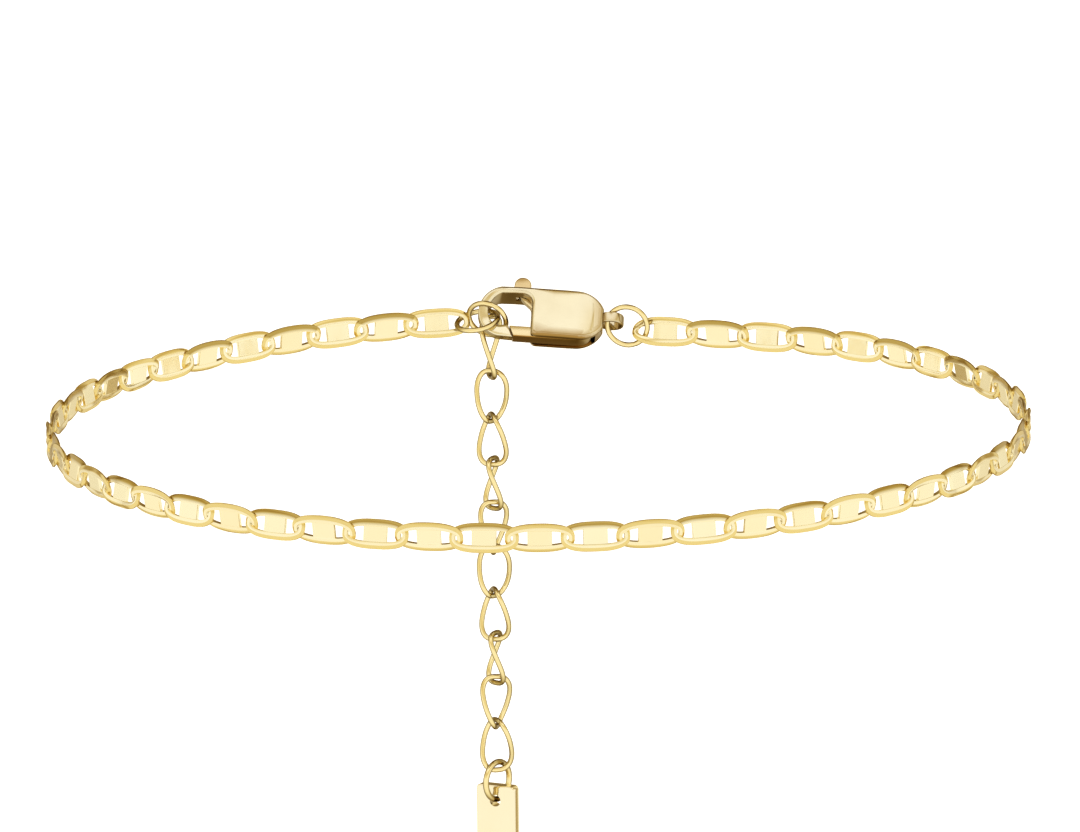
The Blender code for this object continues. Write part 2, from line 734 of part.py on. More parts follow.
def main():
    """Builds the anklet."""
    clear_scene()
    anklet = new_collection("gold_anklet")
    cutters = new_collection("cutters")
    cutters.hide_render = True
    colours = {
        "chain_right": (PALE_GOLD, 0.22),
        "chain_left": (PALE_GOLD, 0.22),
        "chain_ring": (GOLD, 0.18),
        "extender_ring": (GOLD, 0.18),
        "tail_ring": (GOLD, 0.18),
        "tag_ring": (GOLD, 0.18),
        "clasp_body": (PALE_GOLD, 0.15),
        "clasp_lever": (GOLD, 0.20),
        "pivot_pin": (GOLD, 0.30),
        "tag": (PALE_GOLD, 0.15),
    }
    colours |= {extender_name(number): (GOLD, 0.18) for number in range(EXTENDER_LINKS)}
    materials = {name: gold_material(name + "_gold", *look) for name, look in colours.items()}
    right = list(range(0, FIRST_LEFT_LINK))
    left = list(range(FIRST_LEFT_LINK, LINK_COUNT))
    chain_half("chain_right", right, anklet, materials["chain_right"])
    chain_half("chain_left", left, anklet, materials["chain_left"])
    build_clasp_body(anklet, cutters, materials["clasp_body"])
    build_clasp_lever(anklet, cutters, materials["clasp_lever"])
    build_pivot_pin(anklet, materials["pivot_pin"])
    for name, place in (("chain_ring", CHAIN_RING), ("extender_ring", EXTENDER_RING), ("tail_ring", TAIL_RING)):
        end_ring(name, place, anklet, materials[name])
    build_extender(anklet, materials)
    build_tag(anklet, cutters, materials)
    for cutter in cutters.objects:
        cutter.hide_render = True
        cutter.display_type = "WIRE"


main()
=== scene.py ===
"""Looks of the gold anklet: its polished links, clasp, rings, extender and tag, and a plain studio.

Shapes are drawn in millimetres in the anklet's own frame and scaled to metres when they become meshes.
"""

from __future__ import annotations

import logging
import math
from dataclasses import dataclass, field
from enum import Enum

import bmesh
import bpy
from mathutils import Matrix, Vector

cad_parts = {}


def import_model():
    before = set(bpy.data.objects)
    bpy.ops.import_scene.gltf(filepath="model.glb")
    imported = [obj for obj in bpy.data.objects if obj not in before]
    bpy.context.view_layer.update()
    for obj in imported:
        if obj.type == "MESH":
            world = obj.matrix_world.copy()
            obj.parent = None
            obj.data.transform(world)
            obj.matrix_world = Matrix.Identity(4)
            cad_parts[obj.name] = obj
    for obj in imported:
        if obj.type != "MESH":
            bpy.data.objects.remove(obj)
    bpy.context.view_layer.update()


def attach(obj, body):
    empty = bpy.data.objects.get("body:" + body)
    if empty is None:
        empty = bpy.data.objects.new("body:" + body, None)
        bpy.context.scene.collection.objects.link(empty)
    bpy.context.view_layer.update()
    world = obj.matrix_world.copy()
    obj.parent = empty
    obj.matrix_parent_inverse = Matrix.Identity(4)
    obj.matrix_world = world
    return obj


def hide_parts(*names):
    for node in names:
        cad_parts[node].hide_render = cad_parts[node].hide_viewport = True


LOG = logging.getLogger("anklet")
MM = 0.001
BODY = "anklet"
LEVER_BODY = "lever"
WELD = 1e-5
WIRE_SIDES = 16
WIRE_SHARP = 60
CUT_PAST = 2.0
Point2 = tuple[float, float]
Colour = tuple[float, float, float]
Stops = tuple[tuple[float, Colour], ...]


# Mesh helpers


def plain_object(bm: bmesh.types.BMesh, name: str) -> bpy.types.Object:
    """Turns a mesh into an object as it is.

    Args:
        bm: The mesh; it is freed.
        name: The object's name.

    Returns:
        The object, linked to the scene.
    """
    mesh = bpy.data.meshes.new(name)
    bm.to_mesh(mesh)
    bm.free()
    obj = bpy.data.objects.new(name, mesh)
    bpy.context.scene.collection.objects.link(obj)
    return obj


def mesh_object(bm: bmesh.types.BMesh, name: str, scale: float = MM) -> bpy.types.Object:
    """Closes a mesh drawn in millimetres and makes an object of it, in metres unless told otherwise.

    Args:
        bm: The mesh; it is freed.
        name: The object's name.
        scale: What the lengths are multiplied by.

    Returns:
        The object at the origin, linked to the scene.
    """
    bmesh.ops.remove_doubles(bm, verts=bm.verts, dist=WELD)
    bmesh.ops.recalc_face_normals(bm, faces=bm.faces)
    bmesh.ops.scale(bm, verts=bm.verts, vec=(scale, scale, scale))
    return plain_object(bm, name)


def evaluated_mesh(obj: bpy.types.Object) -> None:
    """Replaces an object's data by what its modifiers make, and removes the modifiers.

    Args:
        obj: The object.
    """
    bpy.context.view_layer.update()
    graph = bpy.context.evaluated_depsgraph_get()
    mesh = bpy.data.meshes.new_from_object(obj.evaluated_get(graph))
    obj.modifiers.clear()
    obj.data = mesh


def smooth(obj: bpy.types.Object, degrees: float) -> None:
    """Shades an object smooth except across edges sharper than an angle."""
    obj.data.shade_smooth()
    obj.data.set_sharp_from_angle(angle=math.radians(degrees))


def combine(base: bpy.types.Object, others: list[tuple[str, bpy.types.Object]]) -> None:
    """Joins and cuts an object with others, in order, and removes them.

    Args:
        base: The object that is changed.
        others: Pairs of a Boolean operation and the object that it takes.
    """
    for operation, other in others:
        modifier = base.modifiers.new(other.name, "BOOLEAN")
        modifier.operation = operation
        modifier.solver = "EXACT"
        modifier.object = other
    evaluated_mesh(base)
    for _, other in others:
        bpy.data.objects.remove(other, do_unlink=True)


def inward_normals(outline: list[Point2]) -> list[Vector]:
    """Unit directions into a closed outline at each of its points.

    Args:
        outline: Points of the outline, in order.

    Returns:
        One direction for each point.
    """
    count = len(outline)
    area = sum(a[0] * b[1] - b[0] * a[1] for a, b in zip(outline, outline[1:] + outline[:1]))
    side = 1 if area > 0 else -1
    normals = []
    for i in range(count):
        along = Vector(outline[(i + 1) % count]) - Vector(outline[i - 1])
        normals.append(side * Vector((-along.y, along.x)).normalized())
    return normals


def pillow(
    outline: list[Point2], profile: list[Point2], reaches: list[float] | None = None
) -> bmesh.types.BMesh:
    """A solid whose two faces follow a profile from the outline inwards, in X and Z with its depth along Y.

    Args:
        outline: The outline in X and Z.
        profile: Pairs of how far in from the outline, and how deep.
        reaches: The furthest that each point may go in, where the outline is narrow.

    Returns:
        The closed mesh.
    """
    bm = bmesh.new()
    normals = inward_normals(outline)
    layers = []
    for side, steps in ((-1, profile[::-1]), (1, profile)):
        for inset, depth in steps:
            layer = []
            for i, ((x, z), inward) in enumerate(zip(outline, normals)):
                way = min(inset, reaches[i]) if reaches else inset
                layer.append(bm.verts.new((x + inward.x * way, side * depth, z + inward.y * way)))
            layers.append(layer)
    bm.faces.new(layers[0])
    bm.faces.new(layers[-1])
    for first, second in zip(layers, layers[1:]):
        for i in range(len(first)):
            j = (i + 1) % len(first)
            bm.faces.new((first[i], first[j], second[j], second[i]))
    bm.normal_update()
    bmesh.ops.triangulate(bm, faces=[f for f in bm.faces if len(f.verts) > 4])
    return bm


def round_edge(half_depth: float, radius: float, steps: int = 5) -> list[Point2]:
    """A profile for a face with a quarter-round edge.

    Args:
        half_depth: Depth of the face where the round ends.
        radius: Radius of the edge.
        steps: Steps of the round.

    Returns:
        Pairs of inset and depth.
    """
    profile = []
    for step in range(steps + 1):
        angle = math.pi / 2 * step / steps
        profile.append((radius * (1 - math.cos(angle)), half_depth - radius * (1 - math.sin(angle))))
    return profile


def arc(centre: Point2, radii: Point2, start: float, end: float, steps: int) -> list[Point2]:
    """Points along an ellipse's arc.

    Args:
        centre: The ellipse's centre.
        radii: Its two radii.
        start: Angle of the first point, in degrees.
        end: Angle of the last point.
        steps: Steps from the first point to the last.

    Returns:
        The points.
    """
    points = []
    for step in range(steps + 1):
        angle = math.radians(start + (end - start) * step / steps)
        points.append((centre[0] + radii[0] * math.cos(angle), centre[1] + radii[1] * math.sin(angle)))
    return points


def signed_power(value: float, power: float) -> float:
    """A value's power with the value's own sign, which makes an oval squarer or rounder."""
    return math.copysign(abs(value) ** power, value)


def ring_of(centre: Point2, radius: float, steps: int) -> list[Point2]:
    """Points of a whole circle, the first not repeated."""
    return arc(centre, (radius, radius), 0, 360, steps)[:-1]


def closed_wire(points: list[Vector], radius: float) -> bmesh.types.BMesh:
    """A round wire through a closed run of points, without a twist where it closes.

    Args:
        points: The wire's middle line.
        radius: The wire's radius.

    Returns:
        The closed mesh.
    """
    bm = bmesh.new()
    count = len(points)
    centre = sum(points, Vector()) / count
    rings = []
    for i, point in enumerate(points):
        along = (points[(i + 1) % count] - points[i - 1]).normalized()
        outward = point - centre
        outward = (outward - along * outward.dot(along)).normalized()
        across = along.cross(outward)
        ring = []
        for k in range(WIRE_SIDES):
            angle = math.tau * k / WIRE_SIDES
            ring.append(bm.verts.new(point + radius * (math.cos(angle) * outward + math.sin(angle) * across)))
        rings.append(ring)
    for i in range(count):
        first, second = rings[i], rings[(i + 1) % count]
        for k in range(WIRE_SIDES):
            j = (k + 1) % WIRE_SIDES
            bm.faces.new((first[k], first[j], second[j], second[k]))
    return bm


# Finishes


def join(tree: bpy.types.NodeTree, *pairs: tuple[bpy.types.NodeSocket, bpy.types.NodeSocket]) -> None:
    """Links pairs of an output and an input."""
    for output, socket in pairs:
        tree.links.new(output, socket)


def attribute(tree: bpy.types.NodeTree, name: str) -> bpy.types.NodeSocket:
    """The output of a node that reads an attribute.

    Args:
        tree: The node tree it goes in.
        name: The attribute's name.

    Returns:
        The output.
    """
    node = tree.nodes.new("ShaderNodeAttribute")
    node.attribute_name = name
    return node.outputs["Fac"]


def faded(
    tree: bpy.types.NodeTree, value: bpy.types.NodeSocket, limits: Point2, highest: float = 1.0
) -> bpy.types.NodeSocket:
    """A value that rises smoothly from 0 between two limits.

    Args:
        tree: The node tree it goes in.
        value: The output that is read.
        limits: Where the rise starts and ends.
        highest: What it rises to.

    Returns:
        The output.
    """
    node = tree.nodes.new("ShaderNodeMapRange")
    node.interpolation_type = "SMOOTHSTEP"
    for name, number in zip(("From Min", "From Max", "To Max"), (*limits, highest)):
        node.inputs[name].default_value = number
    join(tree, (value, node.inputs["Value"]))
    return node.outputs["Result"]


def mixed(
    tree: bpy.types.NodeTree, factor: bpy.types.NodeSocket, colour: bpy.types.NodeSocket, other: Colour
) -> bpy.types.NodeSocket:
    """A colour on its way to another one.

    Args:
        tree: The node tree it goes in.
        factor: The output that says how much of the other colour is taken.
        colour: The colour's output.
        other: The other colour.

    Returns:
        The output.
    """
    node = tree.nodes.new("ShaderNodeMix")
    node.data_type = "RGBA"
    node.inputs["B"].default_value = (*other, 1.0)
    join(tree, (factor, node.inputs["Factor"]), (colour, node.inputs["A"]))
    return node.outputs["Result"]


@dataclass(frozen=True)
class GoldFinish:
    """A polished gold: its two tones, its gloss, its fine marks, and the painted shade laid on its bevels, top
    edges and rims.
    """

    name: str
    light: Colour
    deep: Colour
    roughness: Point2 = (0.10, 0.20)
    marks_scale: float = 900.0
    marks_depth: float = 0.03
    # The attribute that shifts the gold per point: tone, with painted reflection on the chain and painted
    # shade on the clasp.
    tone_and_painted_light_attribute: str = ""
    edge_attribute: str = ""
    # Painted shade: a deeper gold on the bevels near the outer edge, and a darker one on the top bevels of
    # inward-leaning links.
    painted_bevel_shade_limits: Point2 = (0.46, 0.34)
    painted_bevel_shade_gold: Colour = (0.86, 0.68, 0.27)
    painted_top_bevel_shade_colour: Colour = (0.46, 0.31, 0.07)
    # Painted shade: a darker gold at rims that turn away from the camera.
    painted_rim_shade: float = 0.0
    painted_rim_shade_limits: Point2 = (0.10, 0.55)
    painted_rim_shade_gold: Colour = (0.26, 0.17, 0.03)

    def material(self) -> bpy.types.Material:
        """Builds the material once.

        Returns:
            A Principled metal whose colour, roughness and normal come from the polish group, the colour with
            painted shade mixed in as the finish asks.
        """
        if self.name in bpy.data.materials:
            return bpy.data.materials[self.name]
        material = bpy.data.materials.new(self.name)
        material.use_nodes = True
        tree = material.node_tree
        shader = tree.nodes["Principled BSDF"]
        shader.inputs["Metallic"].default_value = 1.0
        polish = tree.nodes.new("ShaderNodeGroup")
        polish.node_tree = polish_group()
        values = ((*self.light, 1.0), (*self.deep, 1.0), *self.roughness, self.marks_scale, self.marks_depth)
        for socket, value in zip(polish.inputs, values):
            socket.default_value = value
        if self.tone_and_painted_light_attribute:
            join(tree, (attribute(tree, self.tone_and_painted_light_attribute), polish.inputs["Tone shift"]))
        colour = self.with_painted_shade(tree, polish.outputs["Colour"])
        join(
            tree,
            (colour, shader.inputs["Base Color"]),
            (polish.outputs["Roughness"], shader.inputs["Roughness"]),
            (polish.outputs["Normal"], shader.inputs["Normal"]),
        )
        return material

    def with_painted_shade(self, tree: bpy.types.NodeTree, colour: bpy.types.NodeSocket) -> bpy.types.NodeSocket:
        """The polish's colour with painted shade: deeper at bevelled edges, on the top bevels of
        inward-leaning links and where the metal turns away, as the finish asks.

        Args:
            tree: The material's node tree.
            colour: The polish's colour.

        Returns:
            The output.
        """
        if self.edge_attribute:
            # Painted shade on the bevels near the outer edge, and on the top bevels of inward-leaning links.
            edge = faded(tree, attribute(tree, self.edge_attribute), self.painted_bevel_shade_limits)
            colour = mixed(tree, edge, colour, self.painted_bevel_shade_gold)
            colour = mixed(tree, attribute(tree, "shade"), colour, self.painted_top_bevel_shade_colour)
        # Painted shade where the metal turns away from the camera.
        if self.painted_rim_shade:
            facing = tree.nodes.new("ShaderNodeLayerWeight").outputs["Facing"]
            rim = faded(tree, facing, self.painted_rim_shade_limits, self.painted_rim_shade)
            colour = mixed(tree, rim, colour, self.painted_rim_shade_gold)
        return colour


POLISH_SOCKETS = (
    ("Light tone", "INPUT", "NodeSocketColor"),
    ("Deep tone", "INPUT", "NodeSocketColor"),
    ("Lowest roughness", "INPUT", "NodeSocketFloat"),
    ("Highest roughness", "INPUT", "NodeSocketFloat"),
    ("Marks scale", "INPUT", "NodeSocketFloat"),
    ("Marks depth", "INPUT", "NodeSocketFloat"),
    ("Tone shift", "INPUT", "NodeSocketFloat"),
    ("Colour", "OUTPUT", "NodeSocketColor"),
    ("Roughness", "OUTPUT", "NodeSocketFloat"),
    ("Normal", "OUTPUT", "NodeSocketVector"),
)


def polish_group() -> bpy.types.NodeTree:
    """The shared polish: cloudy tone plus a tone shift that brings in painted light, hair-fine marks and
    patchy gloss, on object coordinates.

    Returns:
        The node group, made at the first call.
    """
    name = "hand polish"
    if name in bpy.data.node_groups:
        return bpy.data.node_groups[name]
    tree = bpy.data.node_groups.new(name, "ShaderNodeTree")
    for socket, way, kind in POLISH_SOCKETS:
        tree.interface.new_socket(name=socket, in_out=way, socket_type=kind)
    nodes = tree.nodes
    given, made = nodes.new("NodeGroupInput"), nodes.new("NodeGroupOutput")
    place = nodes.new("ShaderNodeTexCoord")
    clouds = nodes.new("ShaderNodeTexNoise")
    clouds.inputs["Scale"].default_value = 320.0
    clouds.inputs["Detail"].default_value = 4.0
    marks = nodes.new("ShaderNodeTexNoise")
    marks.inputs["Detail"].default_value = 6.0
    marks.inputs["Roughness"].default_value = 0.65
    stretch = nodes.new("ShaderNodeMapping")
    stretch.inputs["Scale"].default_value = (1.0, 1.0, 4.0)
    shift = nodes.new("ShaderNodeMath")
    shift.operation = "MULTIPLY_ADD"
    shift.inputs[1].default_value = 0.4
    tone = nodes.new("ShaderNodeMix")
    tone.data_type = "RGBA"
    gloss = nodes.new("ShaderNodeMapRange")
    bump = nodes.new("ShaderNodeBump")
    bump.inputs["Distance"].default_value = 0.00002
    join(
        tree,
        (place.outputs["Object"], clouds.inputs["Vector"]),
        (place.outputs["Object"], stretch.inputs["Vector"]),
        (stretch.outputs["Vector"], marks.inputs["Vector"]),
        (given.outputs["Marks scale"], marks.inputs["Scale"]),
        (clouds.outputs["Fac"], shift.inputs[0]),
        (given.outputs["Tone shift"], shift.inputs[2]),
        (shift.outputs[0], tone.inputs["Factor"]),
        (given.outputs["Light tone"], tone.inputs["A"]),
        (given.outputs["Deep tone"], tone.inputs["B"]),
        (marks.outputs["Fac"], gloss.inputs["Value"]),
        (given.outputs["Lowest roughness"], gloss.inputs["To Min"]),
        (given.outputs["Highest roughness"], gloss.inputs["To Max"]),
        (given.outputs["Marks depth"], bump.inputs["Strength"]),
        (marks.outputs["Fac"], bump.inputs["Height"]),
        (tone.outputs["Result"], made.inputs["Colour"]),
        (gloss.outputs["Result"], made.inputs["Roughness"]),
        (bump.outputs["Normal"], made.inputs["Normal"]),
    )
    return tree


# The chain's gold: painted reflection per link through its tone attribute, and painted shade on its bevels.
CHAIN_GOLD = GoldFinish(
    "pale chain gold", (1.0, 0.91, 0.61), (0.97, 0.82, 0.46), tone_and_painted_light_attribute="tone", edge_attribute="edge"
)
# The clasp's gold: its dark deep tone is laid mostly as painted shade through the tone attribute, and its rims
# take painted shade.
CLASP_GOLD = GoldFinish(
    "pale clasp gold",
    (1.0, 0.92, 0.66),
    (0.42, 0.25, 0.07),
    (0.08, 0.18),
    tone_and_painted_light_attribute="tone",
    painted_rim_shade=0.75,
)
# A deeper copy of the clasp's gold, painted shade for the gate tucked under the box; its deep tone is painted
# shade on the gate's underside, and its rims take painted shade.
LEVER_PAINTED_SHADE_GOLD = GoldFinish(
    "lever gold", (1.0, 0.86, 0.52), (0.50, 0.27, 0.06), (0.12, 0.26), tone_and_painted_light_attribute="tone", painted_rim_shade=0.75
)
# The wires' gold: painted shade darkens their rims where they turn away from the camera.
WIRE_GOLD = GoldFinish("wire gold", (1.0, 0.86, 0.47), (0.93, 0.72, 0.28), (0.08, 0.20), painted_rim_shade=1.0)
TAG_GOLD = GoldFinish("tag gold", (1.0, 0.91, 0.66), (0.95, 0.80, 0.48), (0.05, 0.12), marks_depth=0.015)


# Repeated links


PLACER_SOCKETS = (
    ("Geometry", "INPUT", "NodeSocketGeometry"),
    ("Link shapes", "INPUT", "NodeSocketCollection"),
    ("Link size", "INPUT", "NodeSocketFloat"),
    ("Link gold", "INPUT", "NodeSocketMaterial"),
    ("Geometry", "OUTPUT", "NodeSocketGeometry"),
)


class LinkPlacer:
    """Geometry nodes that set link shapes on points, each turned and toned by its point's attributes."""

    TREE_NAME = "links on points"

    def tree(self) -> bpy.types.NodeTree:
        """Builds the node tree once.

        Returns:
            The tree, ending in Realize Instances and Set Material.
        """
        if self.TREE_NAME in bpy.data.node_groups:
            return bpy.data.node_groups[self.TREE_NAME]
        tree = bpy.data.node_groups.new(self.TREE_NAME, "GeometryNodeTree")
        for socket, way, form in PLACER_SOCKETS:
            tree.interface.new_socket(name=socket, in_out=way, socket_type=form)
        nodes = tree.nodes
        given, made = nodes.new("NodeGroupInput"), nodes.new("NodeGroupOutput")
        shapes = nodes.new("GeometryNodeCollectionInfo")
        shapes.inputs["Separate Children"].default_value = True
        shapes.inputs["Reset Children"].default_value = True
        kind = nodes.new("GeometryNodeInputNamedAttribute")
        kind.data_type = "INT"
        kind.inputs["Name"].default_value = "kind"
        turn = nodes.new("GeometryNodeInputNamedAttribute")
        turn.data_type = "FLOAT_VECTOR"
        turn.inputs["Name"].default_value = "turn"
        rotation = nodes.new("FunctionNodeEulerToRotation")
        instances = nodes.new("GeometryNodeInstanceOnPoints")
        instances.inputs["Pick Instance"].default_value = True
        real = nodes.new("GeometryNodeRealizeInstances")
        dressed = nodes.new("GeometryNodeSetMaterial")
        join(
            tree,
            (given.outputs["Geometry"], instances.inputs["Points"]),
            (given.outputs["Link shapes"], shapes.inputs["Collection"]),
            (shapes.outputs["Instances"], instances.inputs["Instance"]),
            (kind.outputs["Attribute"], instances.inputs["Instance Index"]),
            (turn.outputs["Attribute"], rotation.inputs["Euler"]),
            (rotation.outputs["Rotation"], instances.inputs["Rotation"]),
            (given.outputs["Link size"], instances.inputs["Scale"]),
            (instances.outputs["Instances"], real.inputs["Geometry"]),
            (real.outputs["Geometry"], dressed.inputs["Geometry"]),
            (given.outputs["Link gold"], dressed.inputs["Material"]),
            (dressed.outputs["Geometry"], made.inputs["Geometry"]),
        )
        return tree

    def place(
        self,
        name: str,
        shapes: list[bpy.types.Object],
        places: list[tuple[Matrix, int, float]],
        material: bpy.types.Material,
    ) -> bpy.types.Object:
        """Makes one plain mesh of all the links of a run.

        Args:
            name: The piece's name.
            shapes: The link shapes, drawn round the origin.
            places: For each link its matrix in millimetres, its shape's number and its tone.
            material: The links' material.

        Returns:
            The piece, its place in its mesh.
        """
        holder = bpy.data.collections.new(name + " shapes")
        for number, shape in enumerate(shapes):
            for found in list(shape.users_collection):
                found.objects.unlink(shape)
            shape.name = f"{number:02d} {shape.name}"
            holder.objects.link(shape)
        mesh = bpy.data.meshes.new(name)
        mesh.from_pydata([m.translation * MM for m, _, _ in places], [], [])
        for attribute, data_type in (("turn", "FLOAT_VECTOR"), ("kind", "INT"), ("tone", "FLOAT")):
            mesh.attributes.new(attribute, data_type, "POINT")
        for i, (matrix, number, shade) in enumerate(places):
            mesh.attributes["turn"].data[i].vector = matrix.to_euler()
            mesh.attributes["kind"].data[i].value = number
            mesh.attributes["tone"].data[i].value = shade
        piece = bpy.data.objects.new(name, mesh)
        bpy.context.scene.collection.objects.link(piece)
        modifier = piece.modifiers.new("links", "NODES")
        modifier.node_group = self.tree()
        given = {"Link shapes": holder, "Link size": 1.0, "Link gold": material}
        for item in modifier.node_group.interface.items_tree:
            if item.in_out == "INPUT" and item.name in given:
                modifier[item.identifier] = given[item.name]
        evaluated_mesh(piece)
        for shape in shapes:
            bpy.data.objects.remove(shape, do_unlink=True)
        bpy.data.collections.remove(holder)
        return piece


class LinkKind(Enum):
    """The shapes that a flat link comes in, by how it leans at its two ends."""

    TOP_OUT = 0
    TOP_IN = 1
    TWISTED = 2
    HOLDING = 3


@dataclass
class Chain:
    """The loop: flat two-window links that lean by turns and pass through one another."""

    loop_length: float = 228.7
    loop_pitches: float = 57.5
    link_count: int = 54
    end_rim: float = 0.44
    side_rim: float = 0.55
    slack: float = 0.30
    width: float = 2.24
    thickness: float = 0.34
    rim_section: tuple[Point2, ...] = (
        (0.0, 0.20),
        (0.03, 0.36),
        (0.36, 0.96),
        (0.42, 1.0),
        (0.92, 1.0),
        (0.97, 0.95),
        (1.0, 0.84),
    )
    plate_depth: float = 0.82
    plate_edge: float = 0.05
    plate_hold: float = 0.55
    roundness: float = 2.7
    rim_steps: int = 56
    bevel_share: float = 0.38
    # Painted shade on the upper bevel: for the other links, then for inward-leaning ones.
    painted_top_bevel_shades: Point2 = (0.12, 0.9)
    sharp: float = 20
    plate_length: float = 1.82
    middle_lean: float = math.radians(7)
    end_lean: float = math.radians(15)
    holding_lean: float = math.radians(46)
    first_left: int = 27
    twisted: int = 46
    lifts: tuple[float, float] = (-0.48, 0.31)
    lift_reach: float = 14.0
    places: tuple[tuple[int, float], ...] = (
        (0, 0.0430),
        (8, 0.1882),
        (16, 0.3209),
        (37, 0.6972),
        (44, 0.8110),
        (53, 0.9665),
    )
    # Painted reflection: a wave of lighter and deeper gold from link to link, as the links catch the light
    # differently.
    tone_wave: tuple[float, float, float] = (0.22, 2.4, 0.7)
    gold: GoldFinish = CHAIN_GOLD
    placer: LinkPlacer = field(default_factory=LinkPlacer)

    @property
    def pitch(self) -> float:
        """Distance from one link to the next."""
        return self.loop_length / self.loop_pitches

    @property
    def length(self) -> float:
        """Length of one link."""
        return self.pitch + 2 * self.end_rim + self.slack

    def oval(self, length: float, height: float) -> list[Vector]:
        """Points of a superellipse in the link's plane.

        Args:
            length: Its half length.
            height: Its half height.

        Returns:
            The points, in order.
        """
        power = 2 / self.roundness
        points = []
        for step in range(self.rim_steps):
            angle = math.tau * (step + 0.5) / self.rim_steps
            across = signed_power(math.cos(angle), power) * length
            points.append(Vector((across, signed_power(math.sin(angle), power) * height)))
        return points

    def rim(self) -> bpy.types.Object:
        """The oval rim round the windows, bevelled outside and softly domed."""
        outer = self.oval(self.length / 2, self.width / 2)
        inner = self.oval(self.length / 2 - self.end_rim, self.width / 2 - self.side_rim)
        section = [(share, depth * self.thickness / 2) for share, depth in self.rim_section]
        section += [(share, -depth) for share, depth in reversed(section)]
        bm = bmesh.new()
        rings = []
        for outside, inside in zip(outer, inner):
            ring = []
            for share, depth in section:
                point = outside.lerp(inside, share)
                ring.append(bm.verts.new((point.x, point.y, depth)))
            rings.append(ring)
        for first, second in zip(rings, rings[1:] + rings[:1]):
            for k in range(len(section)):
                j = (k + 1) % len(section)
                bm.faces.new((first[k], first[j], second[j], second[k]))
        bmesh.ops.recalc_face_normals(bm, faces=bm.faces)
        return plain_object(bm, "rim")

    def plate(self) -> bpy.types.Object:
        """The flat plate between the two windows, its ends slightly rounded, reaching into the rim."""
        half, depth = self.plate_length / 2, self.thickness / 2 * self.plate_depth
        reach = self.width / 2 - self.side_rim * self.plate_hold
        edge, bend, third = self.plate_edge, self.plate_edge * 0.3, half * 0.33
        section = [(-half, depth - edge), (-half + bend, depth - bend), (-half + edge, depth)]
        section += [(-third, depth), (third, depth)]
        section += [(half - edge, depth), (half - bend, depth - bend), (half, depth - edge)]
        section += [(across, -deep) for across, deep in reversed(section)]
        bm = bmesh.new()
        layers = [[bm.verts.new((x, side, z)) for x, z in section] for side in (-reach, reach)]
        bm.faces.new(layers[0])
        bm.faces.new(layers[1])
        for k in range(len(section)):
            j = (k + 1) % len(section)
            bm.faces.new((layers[0][k], layers[0][j], layers[1][j], layers[1][k]))
        bmesh.ops.recalc_face_normals(bm, faces=bm.faces)
        return plain_object(bm, "plate")

    def edge_share(self, across: float, upright: float) -> float:
        """Where a point lies between a link's outer edge and its windows.

        Args:
            across: Place along the link.
            upright: Place across it.

        Returns:
            From 0 at the outer edge to 1 at the windows and over the plate.
        """
        half_length, half_width = self.length / 2, self.width / 2
        ratios = []
        for length, height in (
            (half_length, half_width),
            (half_length - self.end_rim, half_width - self.side_rim),
        ):
            powers = abs(across / length) ** self.roundness + abs(upright / height) ** self.roundness
            ratios.append(powers ** (1 / self.roundness))
        outside, inside = max(0.0, 1 - ratios[0]), max(0.0, ratios[1] - 1)
        return outside / (outside + inside) if outside + inside > 0 else 0.0

    def link_shape(self, kind: LinkKind) -> bpy.types.Object:
        """One link round the origin, X along it, Y outwards and Z up.

        Args:
            kind: Which way it leans.

        Returns:
            The link's object, with two attributes: how far each point is from the outer edge, and how much
            painted shade it takes.
        """
        flat = self.rim()
        combine(flat, [("UNION", self.plate())])
        bm = bmesh.new()
        bm.from_mesh(flat.data)
        bpy.data.objects.remove(flat, do_unlink=True)
        bmesh.ops.dissolve_degenerate(bm, edges=bm.edges, dist=WELD)
        edge, shade = bm.verts.layers.float.new("edge"), bm.verts.layers.float.new("shade")
        # Painted shade on the upper outer bevel: strong on inward-leaning links, faint on the others.
        top_shade = self.painted_top_bevel_shades[kind is LinkKind.TOP_IN]
        for vertex in bm.verts:
            a, b, depth = vertex.co
            vertex[edge] = self.edge_share(a, b)
            vertex[shade] = top_shade if b > self.width / 4 and vertex[edge] < self.bevel_share else 0.0
            lean = self.lean_at(2 * a / self.length, kind)
            out = b * math.sin(lean) + depth * math.cos(lean)
            vertex.co = (a, out, b * math.cos(lean) - depth * math.sin(lean))
        link = mesh_object(bm, kind.name)
        smooth(link, self.sharp)
        return link

    def lean_at(self, share: float, kind: LinkKind) -> float:
        """Lean of a link's section, in radians, its top outwards where positive.

        Args:
            share: Place along the link, from -1 to 1.
            kind: The link's shape.

        Returns:
            The lean.
        """
        if kind is LinkKind.TWISTED:
            return -self.end_lean * share
        end = self.holding_lean if kind is LinkKind.HOLDING and share < 0 else self.end_lean
        lean = self.middle_lean + (end - self.middle_lean) * min(1.0, abs(share))
        return -lean if kind is LinkKind.TOP_IN else lean

    def kind_of(self, number: int) -> LinkKind:
        """Which shape a link has.

        Args:
            number: The link's number from the clasp's tail.

        Returns:
            Its kind.
        """
        if number == 0:
            return LinkKind.HOLDING
        if number == self.twisted:
            return LinkKind.TWISTED
        outward = (number % 2 == 0) != (number > self.twisted)
        return LinkKind.TOP_OUT if outward else LinkKind.TOP_IN

    def turn_of(self, number: int) -> float:
        """Where a link's plate sits.

        Args:
            number: The link's number from the clasp's tail.

        Returns:
            Its share of the loop's turn.
        """
        for (low, start), (high, end) in zip(self.places, self.places[1:]):
            if number <= high:
                return start + (end - start) * (number - low) / (high - low)
        return self.places[-1][1]

